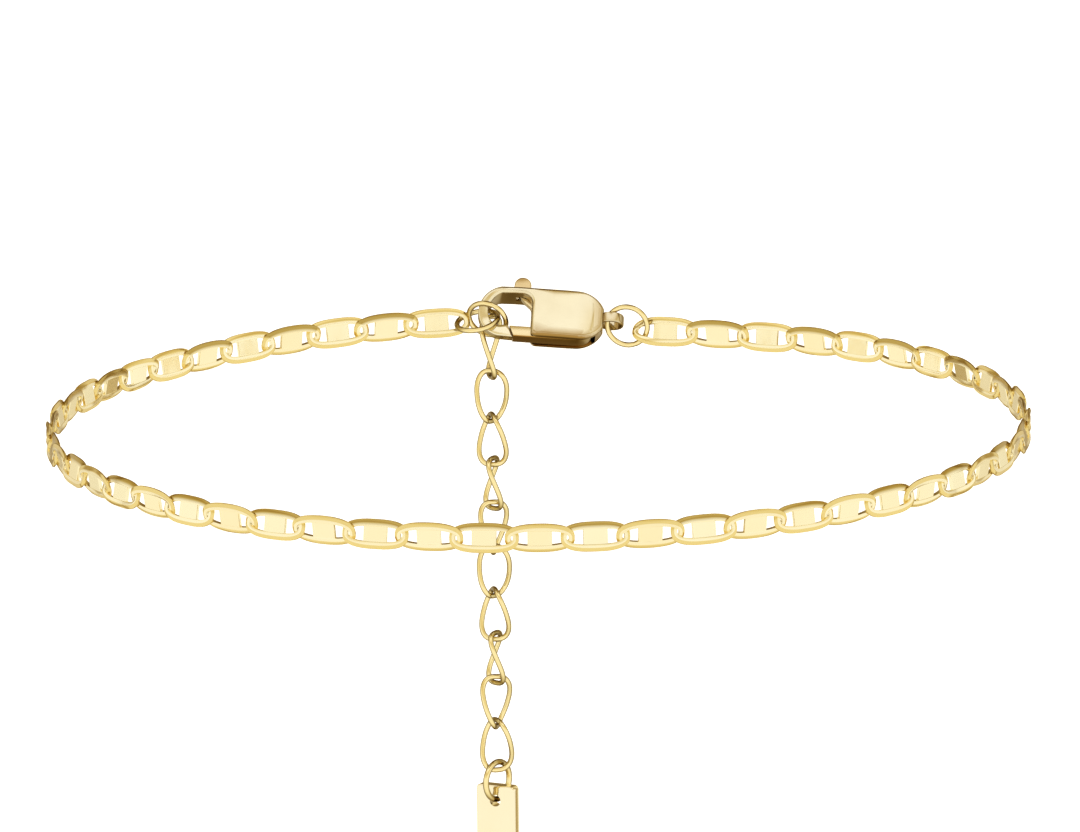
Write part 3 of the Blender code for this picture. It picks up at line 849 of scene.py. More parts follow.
    def point_at(self, turn: float) -> Vector:
        """Point of the loop's route, which sags or rises a little by the clasp.

        Args:
            turn: Share of the loop's turn.

        Returns:
            The point.
        """
        first, last = self.places[0][1], self.places[-1][1]
        after = max(0.0, (turn - first) * self.loop_length) / self.lift_reach
        before = max(0.0, (last - turn) * self.loop_length) / self.lift_reach
        lift = self.lifts[0] * math.exp(-after * after) + self.lifts[1] * math.exp(-before * before)
        radius = self.loop_length / math.tau
        return Vector((radius * math.sin(math.tau * turn), radius * math.cos(math.tau * turn), lift))

    def matrix_of(self, number: int) -> Matrix:
        """Frame of a link: X along the loop, Y outwards, Z up.

        Args:
            number: The link's number from the clasp's tail.

        Returns:
            The frame.
        """
        turn = self.turn_of(number)
        quarter_link = 0.25 / self.loop_pitches
        along = (self.point_at(turn + quarter_link) - self.point_at(turn - quarter_link)).normalized()
        outward = Vector((0, 0, 1)).cross(along).normalized()
        matrix = Matrix((along, outward, along.cross(outward))).transposed().to_4x4()
        matrix.translation = self.point_at(turn)
        return matrix

    def build(self) -> None:
        """Builds both halves of the chain and sets them on the anklet."""
        material = self.gold.material()
        swing, pace, start = self.tone_wave
        halves = {
            "chain_right": range(0, self.first_left),
            "chain_left": range(self.first_left, self.link_count),
        }
        for node, numbers in halves.items():
            shapes = [self.link_shape(kind) for kind in LinkKind]
            places = []
            for number in numbers:
                # Painted reflection: this link's shift of the gold.
                tone = swing * math.sin(pace * number + start)
                places.append((self.matrix_of(number), self.kind_of(number).value, tone))
            piece = self.placer.place(node + "_links", shapes, places, material)
            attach(piece, BODY)
            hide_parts(node)
            LOG.info("%s: %d links, %d faces", piece.name, len(places), len(piece.data.polygons))


@dataclass
class Extender:
    """The hanging chain of twisted oval links, its first link longer."""

    middle: Point2 = (-3.499, 36.938)
    wire: float = 0.40
    gap: float = 0.09
    pitch: float = 3.40
    width: float = 2.70
    roundness: float = 2.8
    twist: float = 78.0
    second_middle: float = -5.68
    first_top: float = 0.666
    turns: tuple[float, ...] = (33.9, -25, -78, -120, 5, -30, -78, -122, 0, -62)
    wire_steps: int = 64
    tone_wave: Point2 = (0.15, 1.9)
    gold: GoldFinish = WIRE_GOLD
    placer: LinkPlacer = field(default_factory=LinkPlacer)

    @property
    def length(self) -> float:
        """Outer length of an ordinary link."""
        return self.pitch + 2 * self.wire + self.gap

    @property
    def last_wire(self) -> float:
        """Height of the middle of the last link's lower wire."""
        last = self.second_middle - self.pitch * (len(self.turns) - 2)
        return last - (self.length - self.wire) / 2

    def link_shape(self, name: str, half_length: float) -> bpy.types.Object:
        """One twisted link round the origin, its upper end lying along X.

        Args:
            name: The link's name.
            half_length: Half the length of its wire's middle line.

        Returns:
            The link's object.
        """
        half_width = (self.width - self.wire) / 2
        power = 2 / self.roundness
        points = []
        for i in range(self.wire_steps):
            angle = math.tau * i / self.wire_steps
            across = signed_power(math.sin(angle), power) * half_width
            height = signed_power(math.cos(angle), power) * half_length
            turn = math.radians(self.twist * (half_length - height) / (2 * half_length))
            points.append(Vector((across * math.cos(turn), across * math.sin(turn), height)))
        link = mesh_object(closed_wire(points, self.wire / 2), name)
        smooth(link, WIRE_SHARP)
        return link

    def build(self) -> None:
        """Builds the extender and sets it on the anklet."""
        half = (self.length - self.wire) / 2
        first_bottom = self.second_middle + self.length / 2 - 2 * self.wire - self.gap
        first_half = (self.first_top - first_bottom - self.wire) / 2
        shapes = [self.link_shape("long link", first_half), self.link_shape("link", half)]
        swing, pace = self.tone_wave
        places = []
        for number, turn in enumerate(self.turns):
            height = self.second_middle - self.pitch * (number - 1)
            if number == 0:
                height = (self.first_top + first_bottom) / 2
            matrix = Matrix.Translation((*self.middle, height)) @ Matrix.Rotation(math.radians(turn), 4, "Z")
            places.append((matrix, min(number, 1), swing * math.sin(pace * number)))
        piece = self.placer.place("extender_links", shapes, places, self.gold.material())
        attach(piece, BODY)
        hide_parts(*[f"extender_link_{number + 1:02d}" for number in range(len(self.turns))])
        LOG.info("%s: %d links, %d faces", piece.name, len(places), len(piece.data.polygons))


@dataclass
class JumpRing:
    """A round ring of wire with its cut ends meeting."""

    node: str
    centre: tuple[float, float, float]
    radius: float
    wire: float
    normal: Vector
    cut_at: float = 0.8
    cut_depth: float = 0.12
    steps: int = 72
    gold: GoldFinish = WIRE_GOLD

    @staticmethod
    def raised(raised: float, turned: float) -> Vector:
        """A ring's normal.

        Args:
            raised: Its rise above the horizontal, in degrees.
            turned: Its turn from the viewer, in degrees.

        Returns:
            The normal.
        """
        level = math.cos(math.radians(raised))
        turn = math.radians(turned)
        return Vector((math.sin(turn) * level, -math.cos(turn) * level, math.sin(math.radians(raised))))

    def build(self) -> None:
        """Builds the ring, with a hair-wide notch round the wire where its ends meet."""
        normal = self.normal.normalized()
        first = Vector((1, 0, 0))
        first = (first - normal * first.dot(normal)).normalized()
        second = normal.cross(first)
        points = []
        for i in range(self.steps):
            angle = math.tau * i / self.steps
            way = math.cos(angle) * first + math.sin(angle) * second
            points.append(Vector(self.centre) + self.radius * way)
        bm = closed_wire(points, self.wire / 2)
        cut = round(self.steps * self.cut_at)
        bm.verts.ensure_lookup_table()
        for k in range(WIRE_SIDES):
            vertex = bm.verts[cut * WIRE_SIDES + k]
            vertex.co += (points[cut] - vertex.co) * self.cut_depth
        piece = mesh_object(bm, self.node + "_wire")
        smooth(piece, WIRE_SHARP)
        piece.data.materials.append(self.gold.material())
        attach(piece, BODY)
        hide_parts(self.node)
        LOG.info("%s: %d faces", piece.name, len(piece.data.polygons))


# Clasp


@dataclass
class Clasp:
    """The trigger clasp in its own frame: X towards the tail, Y away from the viewer, Z up."""

    centre: tuple[float, float, float] = (0.85, 35.90, 0.613)
    lean: float = math.radians(-36)
    slope: float = math.radians(4.92)
    left: float = -1.28
    top: float = 1.83
    bottom: float = -2.05
    shoulder: float = 2.20
    end: float = 4.35
    half_depth: float = 1.30
    wall: float = 0.50
    edge: float = 0.28
    edge_steps: int = 8
    crown: float = 0.02
    crown_reaches: Point2 = (0.50, 0.75)
    narrow_reaches: Point2 = (0.20, 0.24)
    box_clear: float = 0.9
    nose_angle: float = 22
    nose_steps: int = 14
    nose_taper: float = 0.42
    nose_reach: float = 0.40
    nose_run_up: float = 0.9
    heel: float = 0.45
    tail_x: float = 4.80
    tail_z: float = 0.02
    tail_height: float = 0.78
    tail_wall: float = 0.20
    tail_hole: float = 0.75
    tail_edge: float = 0.09
    fillet: float = 0.75
    bar: float = 0.53
    bar_end: float = 0.5
    inner_reach: float = 1.14
    outer_reach: float = 1.88
    hook_centre: Point2 = (-3.42, -0.08)
    hook_drop: float = 0.02
    hook_angles: Point2 = (97, 258)
    hook_steps: int = 24
    hook_growth: float = 0.33
    hook_turn: Point2 = (93, 172)
    hook_tip_depth: float = 0.36
    hook_thinning: Point2 = (1.5, 1.2)
    hook_clear: float = 0.8
    hook_gap: float = 0.06
    tip_top: Point2 = (-2.99, -1.06)
    tip_bottom: Point2 = (-2.64, -2.00)
    cavity_lip: float = -1.0
    cavity_step: float = 0.25
    cavity_mouth: float = 0.5
    slot: tuple[Point2, ...] = ((-2.50, 2.4), (-0.10, 2.4), (-0.10, 0.0), (-1.5, 0.0), (-2.50, 0.9))
    slot_gap: float = 0.10
    lever_half_depth: float = 0.62
    lever_top: float = -1.18
    lever_bottom: float = -2.00
    lever_tail: tuple[Point2, ...] = (
        (1.4, -2.00),
        (2.20, -2.00),
        (2.80, -1.93),
        (3.15, -1.76),
        (3.36, -1.50),
        (3.34, -1.22),
        (2.95, -1.06),
    )
    lever_edge: float = 0.07
    lever_under: float = 0.05
    eye: Point2 = (0.52, 0.55)
    arm_line: tuple[Point2, ...] = ((0.15, -1.45), (-0.72, 0.30), (-1.66, 1.10), (-2.05, 1.55), (-2.05, 2.05))
    arm_half_width: float = 0.24
    arm_half_depth: float = 0.28
    arm_edge: float = 0.05
    pivot: Point2 = (0.90, -1.25)
    pin_radius: float = 0.26
    pin_gap: float = 0.06
    pin_seat: float = 0.26
    nub_x: float = -2.05
    nub_radius: float = 0.64
    nub_middle: float = 2.25
    nub_lift: float = 0.07
    nub_half_depth: float = 0.55
    nub_edge: float = 0.12
    bore_steps: int = 24
    tube_steps: int = 48
    sharp: float = 32
    # How much deep gold each part takes: darker towards the box's lower edge, painted shade on the hollow's
    # inner walls, along the nose and on the lever's underside, and a little on the tail and the nub.
    lower_tones: tuple[Point2, ...] = ((0.13, 0.95), (0.32, 0.55), (0.55, 0.30))
    inside_painted_shade: float = 0.8
    nose_painted_shade: float = 0.45
    nose_painted_shade_start: float = 1.0
    tail_tone: float = 0.15
    under_painted_shade: float = 0.95
    nub_tone: float = 0.25
    touch: float = 0.02
    body_gold: GoldFinish = CLASP_GOLD
    # The lever and the pin take the lever's gold, which carries painted shade.
    lever_gold: GoldFinish = LEVER_PAINTED_SHADE_GOLD

    @property
    def frame(self) -> Matrix:
        """Frame of the clasp in the loop."""
        turn = Matrix.Rotation(self.slope, 4, "Y") @ Matrix.Rotation(self.lean, 4, "X")
        return Matrix.Translation(self.centre) @ turn

    @property
    def pin_bore(self) -> list[Point2]:
        """Outline of the pin's bore."""
        return ring_of(self.pivot, self.pin_radius + self.pin_gap, self.bore_steps)

    def nose(self, margin: float = 0.0) -> list[Point2]:
        """The box's round end, from its top shoulder round to its lower one.

        Args:
            margin: How far it is drawn in.

        Returns:
            The points, clockwise.
        """
        middle, height = (self.top + self.bottom) / 2, (self.top - self.bottom) / 2 - margin
        radii = (self.end - margin - self.shoulder, height)
        upper = arc((self.shoulder, middle), radii, 90, self.nose_angle, self.nose_steps)
        return upper + arc((self.shoulder, middle), radii, -self.nose_angle, -90, self.nose_steps)

    def hook_line(self, reach: float, height: float, growth: float) -> list[Point2]:
        """Points along one edge of the hook, from above its middle round to below.

        Args:
            reach: How far the edge lies from the hook's centre, sideways.
            height: How far it lies under the hook's outer edge, at the top.
            growth: How much more it lies inside that edge at the hook's tip.

        Returns:
            The points.
        """
        cx, cz = self.hook_centre
        points = []
        for step, (x, z) in enumerate(arc((0, 0), (1, 1), *self.hook_angles, self.hook_steps)):
            rise = (self.top - self.hook_drop - cz) if z > 0 else (cz - self.tip_bottom[1])
            points.append((cx + reach * x, cz + (rise - height - growth * step / self.hook_steps) * z))
        return points

    def outline(self) -> list[Point2]:
        """Outline of the box and its hook as one shape, clockwise from the top of the hook.

        Returns:
            The outline's points.
        """
        under = self.top - self.bar
        points = [(-3.0, self.top - self.hook_drop)]
        points += [(x, self.top) for x in (-2.2, -1.2, 0.4, 1.4)]
        points += self.nose()
        points += [(1.3, self.bottom), (0.2, self.bottom)]
        heel = (self.left + self.heel, self.bottom + self.heel)
        points += arc(heel, (self.heel, self.heel), -90, -180, 6)
        points += [(self.left, -0.9), (self.left, -0.1)]
        points += arc((self.left - self.fillet, under - self.fillet), (self.fillet, self.fillet), 0, 90, 8)
        points += [(self.left - self.fillet - self.bar_end, under)]
        points += self.hook_line(self.inner_reach, self.bar + self.hook_drop, self.hook_growth)
        points += [self.tip_top, self.tip_bottom]
        return points + self.hook_line(self.outer_reach, 0, 0)[::-1]

    def reaches(self, outline: list[Point2]) -> list[float]:
        """How far in each point of the body's outline may go before it meets the other side.

        Args:
            outline: The body's outline.

        Returns:
            One length for each point.
        """
        on_bar, on_hook = self.narrow_reaches
        most = self.crown_reaches[-1]
        found = []
        for x, z in outline:
            share = max(0.0, (x - self.shoulder) / (self.end - self.shoulder))
            narrow = on_bar if x > self.hook_centre[0] and z > 0 else on_hook
            wide = most - (most - self.nose_reach) * share
            found.append(wide if x > self.left + self.box_clear else narrow)
        return found

    def drawn_in(self, obj: bpy.types.Object) -> bpy.types.Object:
        """Narrows a solid's depth towards the clasp's nose and along the hook to its tip.

        Args:
            obj: The solid, in the clasp's frame.

        Returns:
            The same object, its faces split into triangles.
        """
        start = self.shoulder - self.nose_run_up
        cx, cz = self.hook_centre
        first, turn = self.hook_turn
        rate, power = self.hook_thinning
        for vertex in obj.data.vertices:
            x, z = vertex.co.x, vertex.co.z
            share = min(1.0, max(0.0, (x - start) / (self.end - start)))
            along = 0.0
            if x < self.left - self.hook_clear and not (x > cx and z > 0):
                angle = math.degrees(math.atan2(z - cz, x - cx)) % 360
                along = min(1.0, max(0.0, (angle - first) / turn))
            hook = self.hook_tip_depth + (1 - self.hook_tip_depth) * max(0.0, 1 - rate * along) ** power
            vertex.co.y *= (1 - self.nose_taper * share**2) * hook
        bm = bmesh.new()
        bm.from_mesh(obj.data)
        bmesh.ops.triangulate(bm, faces=bm.faces)
        bm.to_mesh(obj.data)
        bm.free()
        return obj

    def tube(self, radius: float, half_height: float, edge: float, name: str) -> bpy.types.Object:
        """An upright round solid at the tail.

        Args:
            radius: Its radius.
            half_height: Half its height.
            edge: Radius of its rims, or 0 for sharp ones.
            name: Its name.

        Returns:
            The solid, in the clasp's frame.
        """
        profile = round_edge(half_height, edge) if edge else [(0.0, half_height)]
        bm = pillow(ring_of((0, 0), radius, self.tube_steps), profile)
        bm.transform(Matrix.Rotation(math.radians(90), 4, "X"))
        bm.transform(Matrix.Translation((self.tail_x, 0, self.tail_z)))
        return mesh_object(bm, name, 1)

    def flat(self, outline: list[Point2], half_depth: float, name: str, edge: float = 0.0) -> bpy.types.Object:
        """A solid of an outline in X and Z, its edges rounded where asked."""
        profile = round_edge(half_depth, edge, steps=4) if edge else [(0.0, half_depth)]
        return mesh_object(pillow(outline, profile), name, 1)

    def dressed(self, piece: bpy.types.Object, body: str, node: str, slot: str, gold: GoldFinish) -> None:
        """Sets a finished clasp piece in the loop and on its body.

        Args:
            piece: The piece, in the clasp's frame.
            body: The body that it rides on.
            node: The CAD node that it replaces.
            slot: Not used.
            gold: Its finish.
        """
        # Each point's tone: painted shade on inner walls, along the nose and on the lever's underside.
        tone = piece.data.attributes.new("tone", "FLOAT", "POINT")
        for vertex, shade in zip(piece.data.vertices, tone.data):
            shade.value = self.painted_shade_and_tone_for(vertex.co, body == LEVER_BODY)
        piece.data.transform(Matrix.Scale(MM, 4) @ self.frame)
        smooth(piece, self.sharp)
        piece.data.materials.clear()
        piece.data.materials.append(gold.material())
        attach(piece, body)
        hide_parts(node)
        LOG.info("%s: %d faces", piece.name, len(piece.data.polygons))

    def painted_shade_and_tone_for(self, point: Vector, on_lever: bool) -> float:
        """How deep the gold is at a point: painted shade on the inner walls, the lever's underside and the
        nose, and darker towards the lower edges.

        Args:
            point: The point, in the clasp's frame.
            on_lever: Whether it is the lever's.

        Returns:
            From 0 for the light gold to 1 for the deep one.
        """
        # Painted shade on the lever's underside; the nub takes a little deep gold.
        if on_lever:
            on_nub = self.nub_tone if point.z > self.top else 0.0
            return self.under_painted_shade if point.z < self.lever_bottom + self.lever_under else on_nub
        # Painted shade on the hollow's inner walls.
        within = abs(point.y) < self.half_depth - self.wall + self.touch
        within = within and self.left < point.x < self.end - self.wall
        if within and point.z < self.top - self.wall + self.touch:
            return self.inside_painted_shade
        # Darker towards the box's lower edge.
        if point.x > self.left:
            for height, tone in self.lower_tones:
                if point.z < self.bottom + height:
                    return tone
        # Painted shade deepening along the nose; the tail takes a little deep gold.
        start = self.shoulder + self.nose_painted_shade_start
        along_nose = max(0.0, (point.x - start) / (self.end - start))
        return self.nose_painted_shade * along_nose if point.x < self.end else self.tail_tone

    def hollow(self) -> list[Point2]:
        """Outline of the box's hollow, open below and towards the hook.

        Returns:
            The outline's points.
        """
        ceiling = self.top - self.wall
        points = [(self.left + self.wall, ceiling)]
        points += [point for point in self.nose(self.wall) if point[1] > self.cavity_lip]
        right = max(x for x, _ in points)
        below, mouth = self.bottom - 1.0, self.left - self.cavity_mouth
        points += [(right, self.pivot[1]), (right - 0.5, below), (mouth, below), (mouth, self.cavity_step)]
        return [*points, (points[0][0], self.cavity_step)]

    def build_body(self) -> None:
        """The box with its hook and tail tube, hollow and open below."""
        outline = self.outline()
        profile = round_edge(self.half_depth - self.crown, self.edge, self.edge_steps)
        inner, middle = self.crown_reaches
        profile += [(inner, self.half_depth - 0.4 * self.crown), (middle, self.half_depth)]
        body = self.drawn_in(mesh_object(pillow(outline, profile, self.reaches(outline)), "clasp_box", 1))
        inside = self.half_depth - self.wall
        tube_radius = self.tail_hole + self.tail_wall
        combine(
            body,
            [
                ("UNION", self.tube(tube_radius, self.tail_height / 2, self.tail_edge, "tube")),
                ("DIFFERENCE", self.drawn_in(self.flat(self.hollow(), inside, "hollow"))),
                ("DIFFERENCE", self.flat(list(self.slot), self.arm_half_depth + self.slot_gap, "slot")),
                ("DIFFERENCE", self.flat(self.pin_bore, inside + self.pin_seat, "seat")),
                ("DIFFERENCE", self.tube(self.tail_hole, CUT_PAST, 0.0, "tail hole")),
            ],
        )
        self.dressed(body, BODY, "clasp_body", "clasp_gold", self.body_gold)

    def blade(self) -> list[Point2]:
        """Outline of the gate, with its tail under the box and the eye for the pin.

        Returns:
            The outline's points.
        """
        px, pz = self.pivot
        points = [(self.tip_top[0] + self.hook_gap + 0.04, self.lever_top)]
        points += [(self.tip_bottom[0] + self.hook_gap, self.lever_bottom), *self.lever_tail]
        points += arc((px + 0.1, pz), self.eye, 25, 90, 6)
        return [*points, (px - 0.4, pz + self.eye[1]), (0.2, self.lever_top + 0.1), (-0.2, self.lever_top)]

    def arm(self) -> list[Point2]:
        """Outline of the arm that carries the nub.

        Returns:
            The outline's points.
        """
        line = [Vector(point) for point in self.arm_line]
        left, right = [], []
        for i, point in enumerate(line):
            along = (line[min(i + 1, len(line) - 1)] - line[max(i - 1, 0)]).normalized()
            side = Vector((-along.y, along.x)) * self.arm_half_width
            left.append(tuple(point + side))
            right.append(tuple(point - side))
        return left + right[::-1]

    def build_lever(self) -> None:
        """The gate, its arm and the half-round nub."""
        foot, radius = self.top + self.nub_lift, self.nub_radius
        nub = [(self.nub_x - radius, foot)]
        nub += arc((self.nub_x, self.nub_middle), (radius, radius), 180, 0, 18)
        nub.append((self.nub_x + radius, foot))
        gate = self.flat(self.blade(), self.lever_half_depth, "clasp_gate", self.lever_edge)
        combine(
            gate,
            [
                ("UNION", self.flat(self.arm(), self.arm_half_depth, "arm", self.arm_edge)),
                ("UNION", self.flat(nub, self.nub_half_depth, "nub", self.nub_edge)),
                ("DIFFERENCE", self.flat(self.pin_bore, CUT_PAST, "bore")),
            ],
        )
        self.dressed(gate, LEVER_BODY, "clasp_lever", "lever_gold", self.lever_gold)

    def build_pin(self) -> None:
        """The pin, whose plain solid stays and gets the lever's gold."""
        pin = bpy.data.objects["pivot_pin"]
        pin.data.materials.clear()
        pin.data.materials.append(self.lever_gold.material())

    def build(self) -> None:
        """Builds the clasp's pieces."""
        self.build_body()
        self.build_lever()
        self.build_pin()


@dataclass
class Tag:
    """The plain bar tag, its edges softly rounded, hung through its hole."""

    extender: Extender
    width: float = 3.20
    length: float = 9.00
    thickness: float = 0.95
    corner: float = 0.35
    edge: float = 0.12
    hole_radius: float = 0.46
    hole_steps: int = 36
    hole_drop: float = 1.18
    turn: float = math.radians(-27)
    ring_radius: float = 1.435
    ring_wire: float = 0.46
    ring_turn: float = math.radians(52)
    ring_cut: float = 0.3
    sharp: float = 30
    gold: GoldFinish = TAG_GOLD

    @property
    def ring_centre(self) -> tuple[float, float, float]:
        """Centre of the ring that holds the tag."""
        top = self.extender.last_wire + self.extender.wire / 2 + 2 * self.extender.gap + self.ring_wire / 2
        return (*self.extender.middle, top - self.ring_radius)

    def outline(self, top: float) -> list[Point2]:
        """The tag's outline with its round corners.

        Args:
            top: Height of its top edge.

        Returns:
            The outline's points.
        """
        right, upper = self.width / 2 - self.corner, top - self.corner
        lower = top - self.length + self.corner
        points = []
        for quarter, corner in enumerate(((right, upper), (-right, upper), (-right, lower), (right, lower))):
            points += arc(corner, (self.corner, self.corner), 90 * quarter, 90 * quarter + 90, 8)
        return points

    def build(self) -> None:
        """Builds the ring and the tag."""
        normal = Vector((-math.sin(self.ring_turn), math.cos(self.ring_turn), 0))
        ring = JumpRing("tag_ring", self.ring_centre, self.ring_radius, self.ring_wire, normal, self.ring_cut)
        ring.build()
        inside = self.ring_radius - self.ring_wire / 2
        rise = inside - math.sqrt(inside**2 - (self.thickness / 2) ** 2)
        play = self.hole_radius - self.ring_wire / 2 - self.extender.gap - rise
        hole = self.ring_centre[2] - self.ring_radius - play
        outline = self.outline(hole + self.hole_drop)
        plate = mesh_object(pillow(outline, round_edge(self.thickness / 2, self.edge)), "tag_plate")
        bore = pillow(ring_of((0, hole), self.hole_radius, self.hole_steps), [(0.0, CUT_PAST)])
        combine(plate, [("DIFFERENCE", mesh_object(bore, "tag hole"))])
        place = Matrix.Translation((*self.extender.middle, 0)) @ Matrix.Rotation(self.turn, 4, "Z")
        place.translation *= MM
        plate.data.transform(place)
        smooth(plate, self.sharp)
        plate.data.materials.clear()
        plate.data.materials.append(self.gold.material())
        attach(plate, BODY)
        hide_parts("tag")
        LOG.info("%s: %d faces", plate.name, len(plate.data.polygons))


# Studio


@dataclass
class Studio:
    """Plain pale floor, soft lights and the camera at the photograph's angle."""

    picture: tuple[int, int] = (1080, 832)
    pixels_per_mm: float = 13.41
    loop_centre: Point2 = (538.5, 429.0)
    elevation: float = math.radians(12.66)
    roll: float = 0.0144
    lens: float = 1000.0
    sensor: float = 36.0
    floor_height: float = -0.058
    panel_strength: float = 1.6
    floor_size: float = 6000
    floor_glow: float = 0.6
    clip: Point2 = (0.05, 20)
    lamps: tuple[tuple[str, Colour, Point2, float], ...] = (
        ("key", (-0.35, -0.75, 1.25), (0.6, 0.4), 5),
        ("fill", (0.9, -0.6, 0.5), (0.4, 0.4), 2),
    )
    height_stops: Stops = (
        (0.0, (0.50, 0.45, 0.32)),
        (0.10, (0.56, 0.52, 0.42)),
        (0.26, (0.65, 0.63, 0.57)),
        (0.56, (0.65, 0.64, 0.61)),
        (0.64, (0.56, 0.51, 0.36)),
        (0.70, (0.46, 0.38, 0.22)),
        (0.77, (0.66, 0.63, 0.56)),
        (0.81, (0.70, 0.70, 0.70)),
        (0.854, (0.70, 0.69, 0.66)),
        (0.872, (0.36, 0.28, 0.14)),
        (1.0, (0.26, 0.18, 0.07)),
    )
    turn_stops: Stops = (
        (0.0, (1.0, 1.0, 1.0)),
        (0.60, (1.0, 1.0, 1.0)),
        (0.66, (0.95, 0.95, 0.93)),
        (0.675, (0.45, 0.34, 0.16)),
        (0.715, (0.45, 0.34, 0.16)),
        (0.73, (0.90, 0.88, 0.82)),
        (0.84, (0.80, 0.74, 0.60)),
        (0.92, (0.34, 0.25, 0.12)),
        (1.0, (0.25, 0.18, 0.08)),
    )

    def camera(self) -> None:
        """Sets the camera so that the loop's centre falls where the photograph has it."""
        up = Vector((0, math.sin(self.elevation), math.cos(self.elevation)))
        back = Vector((0, -math.cos(self.elevation), math.sin(self.elevation)))
        right = (Vector((1, 0, 0)) - self.roll * up).normalized()
        top = back.cross(right)
        aside = (self.picture[0] / 2 - self.loop_centre[0]) / self.pixels_per_mm
        above = (self.loop_centre[1] - self.picture[1] / 2) / self.pixels_per_mm
        target = (right * aside + top * above) * MM
        width = self.picture[0] / self.pixels_per_mm * MM
        distance = width * self.lens / self.sensor
        matrix = Matrix((right, top, back)).transposed().to_4x4()
        matrix.translation = target + back * distance
        data = bpy.data.cameras.new("camera")
        data.lens = self.lens
        data.sensor_width = self.sensor
        data.clip_start, data.clip_end = self.clip
        camera = bpy.data.objects.new("camera", data)
        camera.matrix_world = matrix
        bpy.context.scene.collection.objects.link(camera)
        bpy.context.scene.camera = camera

    def floor(self) -> None:
        """A wide pale floor under the hanging tag."""
        bm = bmesh.new()
        bmesh.ops.create_grid(bm, x_segments=8, y_segments=8, size=self.floor_size)
        bmesh.ops.translate(bm, verts=bm.verts, vec=(0, 0, self.floor_height / MM))
        floor = mesh_object(bm, "floor")
        material = bpy.data.materials.new("pale floor")
        material.use_nodes = True
        shader = material.node_tree.nodes["Principled BSDF"]
        shader.inputs["Base Color"].default_value = (0.96, 0.96, 0.96, 1)
        shader.inputs["Roughness"].default_value = 0.9
        shader.inputs["Emission Color"].default_value = (1, 1, 1, 1)
        shader.inputs["Emission Strength"].default_value = self.floor_glow
        floor.data.materials.append(material)
        floor.visible_glossy = False

    def light(self, name: str, place: Vector, size: Point2, watts: float) -> None:
        """A soft rectangular light aimed at the anklet, seen neither by the camera nor in the metal.

        Args:
            name: Its name.
            place: Where it stands, in metres.
            size: Its width and height.
            watts: Its power.
        """
        data = bpy.data.lights.new(name, "AREA")
        data.shape = "RECTANGLE"
        data.size, data.size_y = size
        data.energy = watts
        lamp = bpy.data.objects.new(name, data)
        lamp.location = place
        lamp.rotation_euler = (-place).to_track_quat("-Z", "Y").to_euler()
        lamp.visible_camera = False
        lamp.visible_glossy = False
        bpy.context.scene.collection.objects.link(lamp)

    def ramp(self, tree: bpy.types.NodeTree, stops: Stops) -> bpy.types.Node:
        """A colour ramp with smooth steps.

        Args:
            tree: The node tree it goes in.
            stops: Pairs of a place from 0 to 1 and a colour.

        Returns:
            The ramp's node.
        """
        node = tree.nodes.new("ShaderNodeValToRGB")
        node.color_ramp.interpolation = "EASE"
        elements = node.color_ramp.elements
        while len(elements) < len(stops):
            elements.new(0.5)
        for element, (position, colour) in zip(elements, stops):
            element.position = position
            element.color = (*colour, 1.0)
        return node

    def world(self) -> None:
        """A room of soft panels with warm gaps, seen by the metal; the camera sees plain white."""
        world = bpy.data.worlds.new("studio")
        bpy.context.scene.world = world
        world.use_nodes = True
        tree = world.node_tree
        nodes = tree.nodes
        panels, white = nodes["Background"], nodes.new("ShaderNodeBackground")
        place, split = nodes.new("ShaderNodeTexCoord"), nodes.new("ShaderNodeSeparateXYZ")
        rise, aside, ahead, turn = (nodes.new("ShaderNodeMath") for _ in range(4))
        rise.operation, aside.operation = "ARCSINE", "ABSOLUTE"
        ahead.operation, turn.operation = "MULTIPLY", "ARCTAN2"
        ahead.inputs[1].default_value = -1.0
        height_share, turn_share = nodes.new("ShaderNodeMapRange"), nodes.new("ShaderNodeMapRange")
        height_share.inputs["From Min"].default_value = -math.pi / 2
        height_share.inputs["From Max"].default_value = math.pi / 2
        turn_share.inputs["From Max"].default_value = math.pi
        by_height, by_turn = self.ramp(tree, self.height_stops), self.ramp(tree, self.turn_stops)
        both = nodes.new("ShaderNodeMix")
        both.data_type = "RGBA"
        both.blend_type = "MULTIPLY"
        both.inputs["Factor"].default_value = 1.0
        seen, path = nodes.new("ShaderNodeMixShader"), nodes.new("ShaderNodeLightPath")
        panels.inputs["Strength"].default_value = self.panel_strength
        white.inputs["Color"].default_value = (1, 1, 1, 1)
        join(
            tree,
            (place.outputs["Generated"], split.inputs["Vector"]),
            (split.outputs["Z"], rise.inputs[0]),
            (split.outputs["X"], aside.inputs[0]),
            (split.outputs["Y"], ahead.inputs[0]),
            (aside.outputs[0], turn.inputs[0]),
            (ahead.outputs[0], turn.inputs[1]),
            (rise.outputs[0], height_share.inputs["Value"]),
            (turn.outputs[0], turn_share.inputs["Value"]),
            (height_share.outputs["Result"], by_height.inputs["Fac"]),
            (turn_share.outputs["Result"], by_turn.inputs["Fac"]),
            (by_height.outputs["Color"], both.inputs["A"]),
            (by_turn.outputs["Color"], both.inputs["B"]),
            (both.outputs["Result"], panels.inputs["Color"]),
            (path.outputs["Is Camera Ray"], seen.inputs["Fac"]),
            (panels.outputs[0], seen.inputs[1]),
            (white.outputs[0], seen.inputs[2]),
            (seen.outputs[0], nodes["World Output"].inputs["Surface"]),
        )

    def build(self) -> None:
        """Sets up the whole studio."""
        self.camera()
        self.floor()
        self.world()
        for name, place, size, watts in self.lamps:
            self.light(name, Vector(place), size, watts)
        scene = bpy.context.scene
        scene.view_settings.view_transform = "Standard"


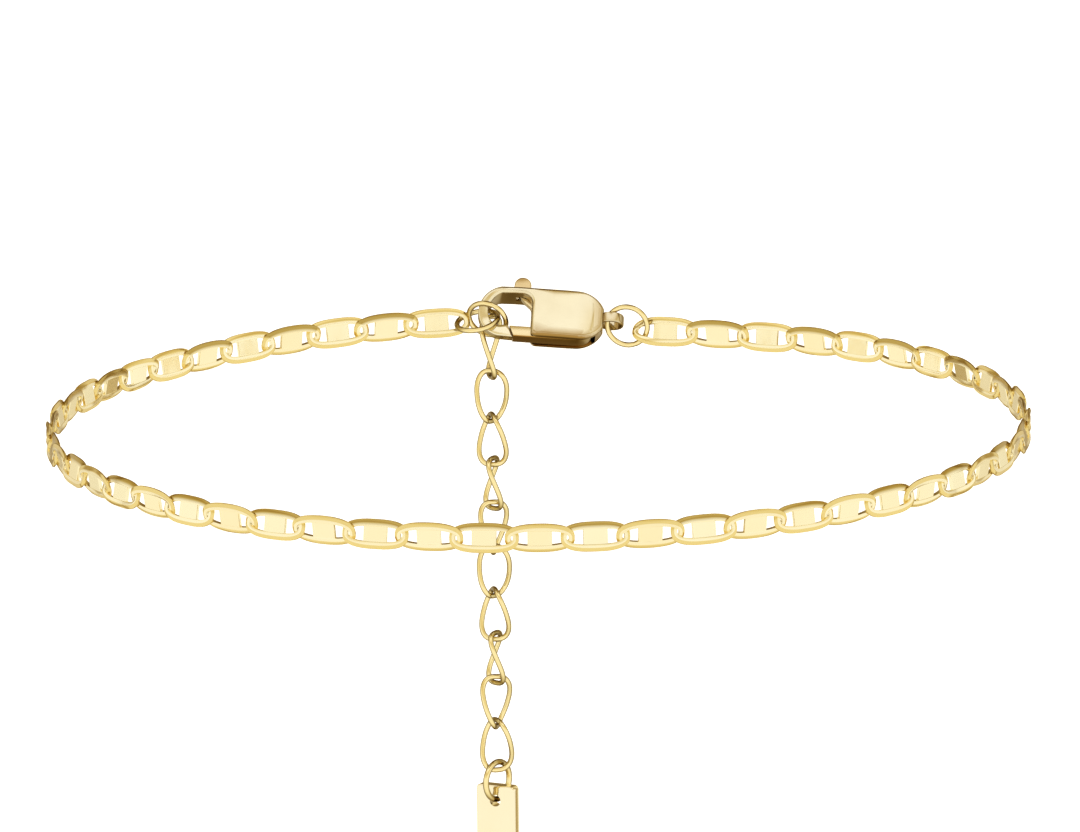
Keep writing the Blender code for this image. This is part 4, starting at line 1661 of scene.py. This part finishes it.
def main() -> None:
    """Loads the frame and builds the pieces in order."""
    logging.basicConfig(level=logging.INFO, format="%(name)s %(message)s")
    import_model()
    Studio().build()
    Chain().build()
    Clasp().build()
    extender = Extender()
    extender.build()
    rings = (
        ("chain_ring", (-4.505, 35.624, 0.445), 1.586, 72.974, -38.963),
        ("extender_ring", (-3.747, 35.996, 0.492), 1.480, 155.805, -20.769),
        ("tail_ring", (6.830, 35.703, -0.132), 1.545, -9, -11),
    )
    for node, centre, radius, raised, turned in rings:
        JumpRing(node, centre, radius, 0.40, JumpRing.raised(raised, turned)).build()
    Tag(extender).build()


if __name__ == "__main__":
    main()
